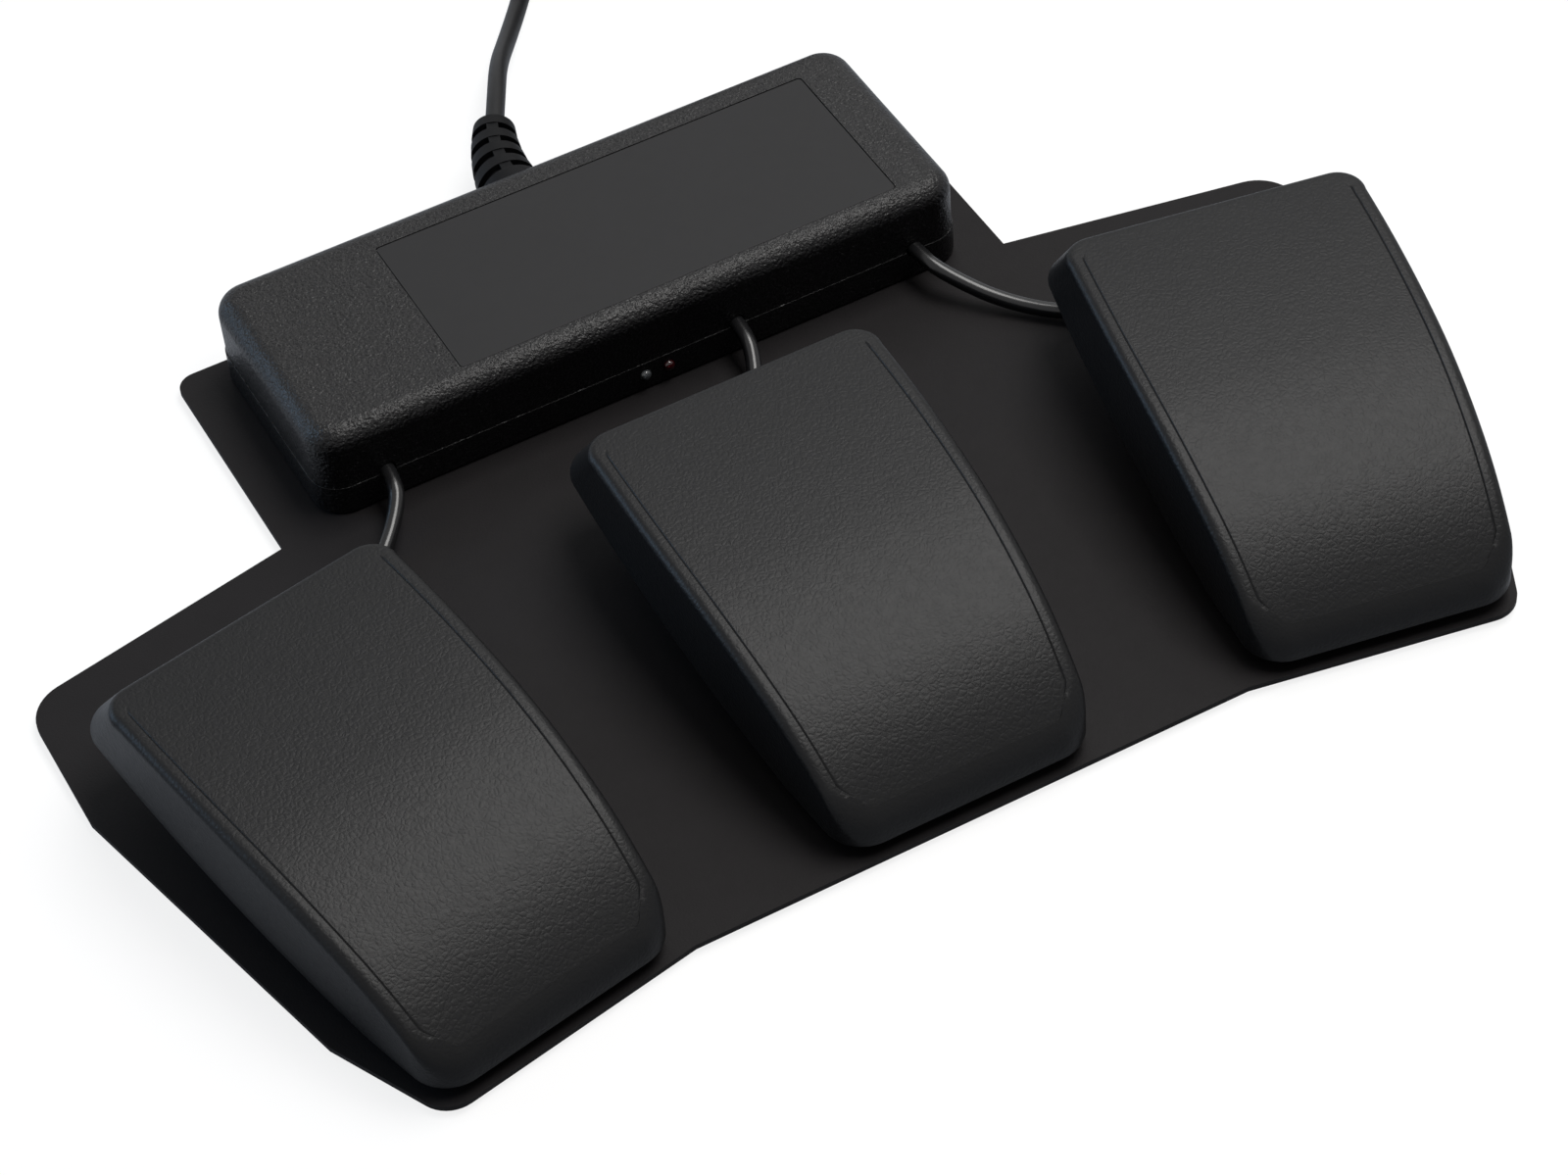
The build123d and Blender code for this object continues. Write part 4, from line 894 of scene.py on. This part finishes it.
def prism(shape, outline, low, high, along="across"):
    """Add a closed prism: an outline in (back, up) run across, or (across, back) run up."""
    def spot(point, level):
        if along == "across":
            return (level, point[0], point[1])
        return (point[0], point[1], level(point[1]) if callable(level) else level)

    near, far = [
        [shape.verts.new(spot(point, level)) for point in outline] for level in (low, high)
    ]
    faces = [shape.faces.new(near[::-1]), shape.faces.new(far)]
    for index in range(len(outline)):
        after = (index + 1) % len(outline)
        faces.append(shape.faces.new((near[index], near[after], far[after], far[index])))
    bmesh.ops.recalc_face_normals(shape, faces=faces)


def round_outline(centre, radius, count):
    """Return a circle as points."""
    return [
        (centre[0] + radius * math.cos(2 * math.pi * step / count),
         centre[1] + radius * math.sin(2 * math.pi * step / count))
        for step in range(count)
    ]


def half_round(centre, radius, steps):
    """Return the lower half of a circle as points, from the front to the rear."""
    angles = [math.pi + math.pi * step / steps for step in range(steps + 1)]
    return [
        (centre[0] + radius * math.cos(angle), centre[1] + radius * math.sin(angle))
        for angle in angles
    ]


def box_outline(left, right, front, rear):
    """Return a rectangle's four corners."""
    return [(left, front), (right, front), (right, rear), (left, rear)]


def cap_ribs(shape):
    """Add the hinge ears, the spring boss, the switch nose and the stops under the tread."""
    def sunk(back):
        """Return a height inside the tread's wall, where the ribs end."""
        return tread(back) - WALL_INSIDE

    ear_radius, ear_width = 5.0, 3.0
    ear = half_round((0.0, HINGE_UP), ear_radius, 18)
    ear += [(ear_radius, sunk(ear_radius)), (-ear_radius, sunk(-ear_radius))]
    for low in (22.4, -25.4):
        prism(shape, ear, low, low + ear_width)

    spring = (0.0, SPRING_BACK)
    boss_radius, spigot_radius, spigot_low = 8.0, 3.9, 18.0
    prism(shape, round_outline(spring, boss_radius, 40), SPRING_HEAD, sunk, "up")
    prism(shape, round_outline(spring, spigot_radius, 32), spigot_low, SPRING_HEAD + 0.5, "up")

    lever_back, lever_up, lever_reach, lever_angle = 57.5, 20.1, 22.0, math.radians(13.0)
    lever_half, lever_gap, nose_radius, nose_half = 0.2, 0.35, 1.5, 3.0
    nose_back = lever_back - lever_reach * math.cos(lever_angle)
    nose_up = lever_up + lever_reach * math.sin(lever_angle) + lever_half + lever_gap + nose_radius
    nose = half_round((nose_back, nose_up), nose_radius, 12)
    nose += [(nose_back + way * nose_radius, sunk(nose_back)) for way in (1, -1)]
    prism(shape, nose, -nose_half, nose_half)

    bumper_up, stop_rear = 8.3, 67.0
    stop_up = HINGE_UP + (bumper_up - HINGE_UP + stop_rear * math.sin(PRESS)) / math.cos(PRESS)
    for across in (-16.0, 16.0):
        block = box_outline(across - 3.0, across + 3.0, 61.0, stop_rear)
        prism(shape, block, stop_up, sunk, "up")
    rest_low = 4.3
    prism(shape, box_outline(-8.0, 8.0, -23.25, -20.75), rest_low, sunk, "up")


CAP_CREASE = math.radians(38.0)


def cap_mesh(side):
    """Return one pedal's cap as a mesh in its place."""
    shape = bmesh.new()
    cap_shell(shape)
    cap_ribs(shape)
    for vertex in shape.verts:
        vertex.co = seated(side, *vertex.co)
    for face in shape.faces:
        face.smooth = True
    for edge_line in shape.edges:
        if len(edge_line.link_faces) == 2:
            edge_line.smooth = edge_line.calc_face_angle(0.0) <= CAP_CREASE
    mesh = bpy.data.meshes.new(f"cap_{side}")
    shape.to_mesh(mesh)
    shape.free()
    return mesh


for side in SIDES:
    cap = link(f"cap_{side}", cap_mesh(side))
    settle(cap, f"pedal_{side}", "cap_plastic", f"pedal_cap_{side}")


# ---------------------------------------------------------------- return springs
SPRING_RADIUS, WIRE_RADIUS, WIRE_SIDES = 6.0, 0.6, 14
SPRING_FOOT = SPRING_SEAT + SPRING_ROOM


def spring_line(side):
    """Return a spring's wire as points in the frame, with closed ends."""
    turns, steps, closed, head_room = 6, 24, 1.75, 0.3
    height = SPRING_HEAD - head_room - SPRING_FOOT
    active = (height - 2 * WIRE_RADIUS - 2 * closed) / (turns - 2)
    level = SPRING_FOOT + WIRE_RADIUS
    points = []
    for step in range(turns * steps + 1):
        angle = 2 * math.pi * step / steps
        across, back = SPRING_RADIUS * math.cos(angle), SPRING_RADIUS * math.sin(angle)
        points.append(seated(side, across, SPRING_BACK + back, level))
        level += (closed if step < steps or step >= (turns - 1) * steps else active) / steps
    return points


def wire_tree():
    """Return a node group that gives a line a round section and a finish."""
    tree = bpy.data.node_groups.new("wire_along_line", "GeometryNodeTree")
    for name, kind in (
        ("Line", "NodeSocketGeometry"), ("Radius", "NodeSocketFloat"),
        ("Sides", "NodeSocketInt"), ("Finish", "NodeSocketMaterial"),
    ):
        tree.interface.new_socket(name, in_out="INPUT", socket_type=kind)
    tree.interface.new_socket("Wire", in_out="OUTPUT", socket_type="NodeSocketGeometry")
    nodes, links = tree.nodes, tree.links
    given, out = nodes.new("NodeGroupInput"), nodes.new("NodeGroupOutput")
    section = nodes.new("GeometryNodeCurvePrimitiveCircle")
    sweep = nodes.new("GeometryNodeCurveToMesh")
    real = nodes.new("GeometryNodeRealizeInstances")
    paint = nodes.new("GeometryNodeSetMaterial")
    sweep.inputs["Fill Caps"].default_value = True
    links.new(given.outputs["Radius"], section.inputs["Radius"])
    links.new(given.outputs["Sides"], section.inputs["Resolution"])
    links.new(given.outputs["Line"], sweep.inputs["Curve"])
    links.new(section.outputs["Curve"], sweep.inputs["Profile Curve"])
    links.new(sweep.outputs["Mesh"], real.inputs["Geometry"])
    links.new(real.outputs["Geometry"], paint.inputs["Geometry"])
    links.new(given.outputs["Finish"], paint.inputs["Material"])
    links.new(paint.outputs["Geometry"], out.inputs["Wire"])
    return tree


WIRE_TREE = wire_tree()


def tree_input(tree, name):
    """Return the identifier of a node group's input."""
    return next(
        item.identifier for item in tree.interface.items_tree
        if item.item_type == "SOCKET" and item.in_out == "INPUT" and item.name == name
    )


def wire_piece(name, lines, radius, sides, finish):
    """Return a mesh of round wires along lines of points."""
    curve = bpy.data.curves.new(name, "CURVE")
    curve.dimensions = "3D"
    for points in lines:
        spline = curve.splines.new("POLY")
        spline.points.add(len(points) - 1)
        for spot, point in zip(spline.points, points):
            spot.co = (*point, 1.0)
    holder = link(name + "_line", curve)
    step = holder.modifiers.new("wire", "NODES")
    step.node_group = WIRE_TREE
    step[tree_input(WIRE_TREE, "Radius")] = radius * MM
    step[tree_input(WIRE_TREE, "Sides")] = sides
    step[tree_input(WIRE_TREE, "Finish")] = finish
    piece = baked(holder, name)
    for polygon in piece.data.polygons:
        polygon.use_smooth = True
    return piece


# Where the leads' two bare cores run to the switch terminals
CORE_BACKS, CORE_LEVELS, CORE_RADIUS, CORE_SIDES = (69.4, 66.0, 65.2), (5.6, 8.0), 0.6, 12

for side in SIDES:
    spring = wire_piece(
        f"spring_{side}", [spring_line(side)], WIRE_RADIUS, WIRE_SIDES, FINISHES["spring_steel"]
    )
    settle(spring, "base", "spring_steel", f"return_spring_{side}")
    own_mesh(spring)
    lines = [[seated(side, 0, back, level) for back in CORE_BACKS] for level in CORE_LEVELS]
    cores = wire_piece(
        f"lead_cores_{side}", lines, CORE_RADIUS, CORE_SIDES, FINISHES["contact_brass"]
    )
    settle(cores, "base", "contact_brass")


# ---------------------------------------------------------------- plate, box and the rest
# Each finished node's rounding in millimetres and its steps
SOFT_EDGES = {
    "base_plate": (0.25, 3), "anti_slip_mat": (0.2, 2), "module_base": (0.1, 2),
    "module_lid": (0.3, 3), "label_panel": (0.08, 2), "strain_relief": (0.25, 3),
    "usb_plug_grip": (0.5, 3), "usb_plug_shell": (0.05, 2), "led_clear": (0.0, 1),
    "led_red": (0.0, 1),
}
SLOT_OF = {row["node"]: row["material_slot"] for row in frame["record"]["subparts"]}
for node, (edge, steps) in SOFT_EDGES.items():
    piece = softened(node, node + "_finished", edge, steps)
    piece.data.materials.clear()
    settle(piece, "base", SLOT_OF[node], node)
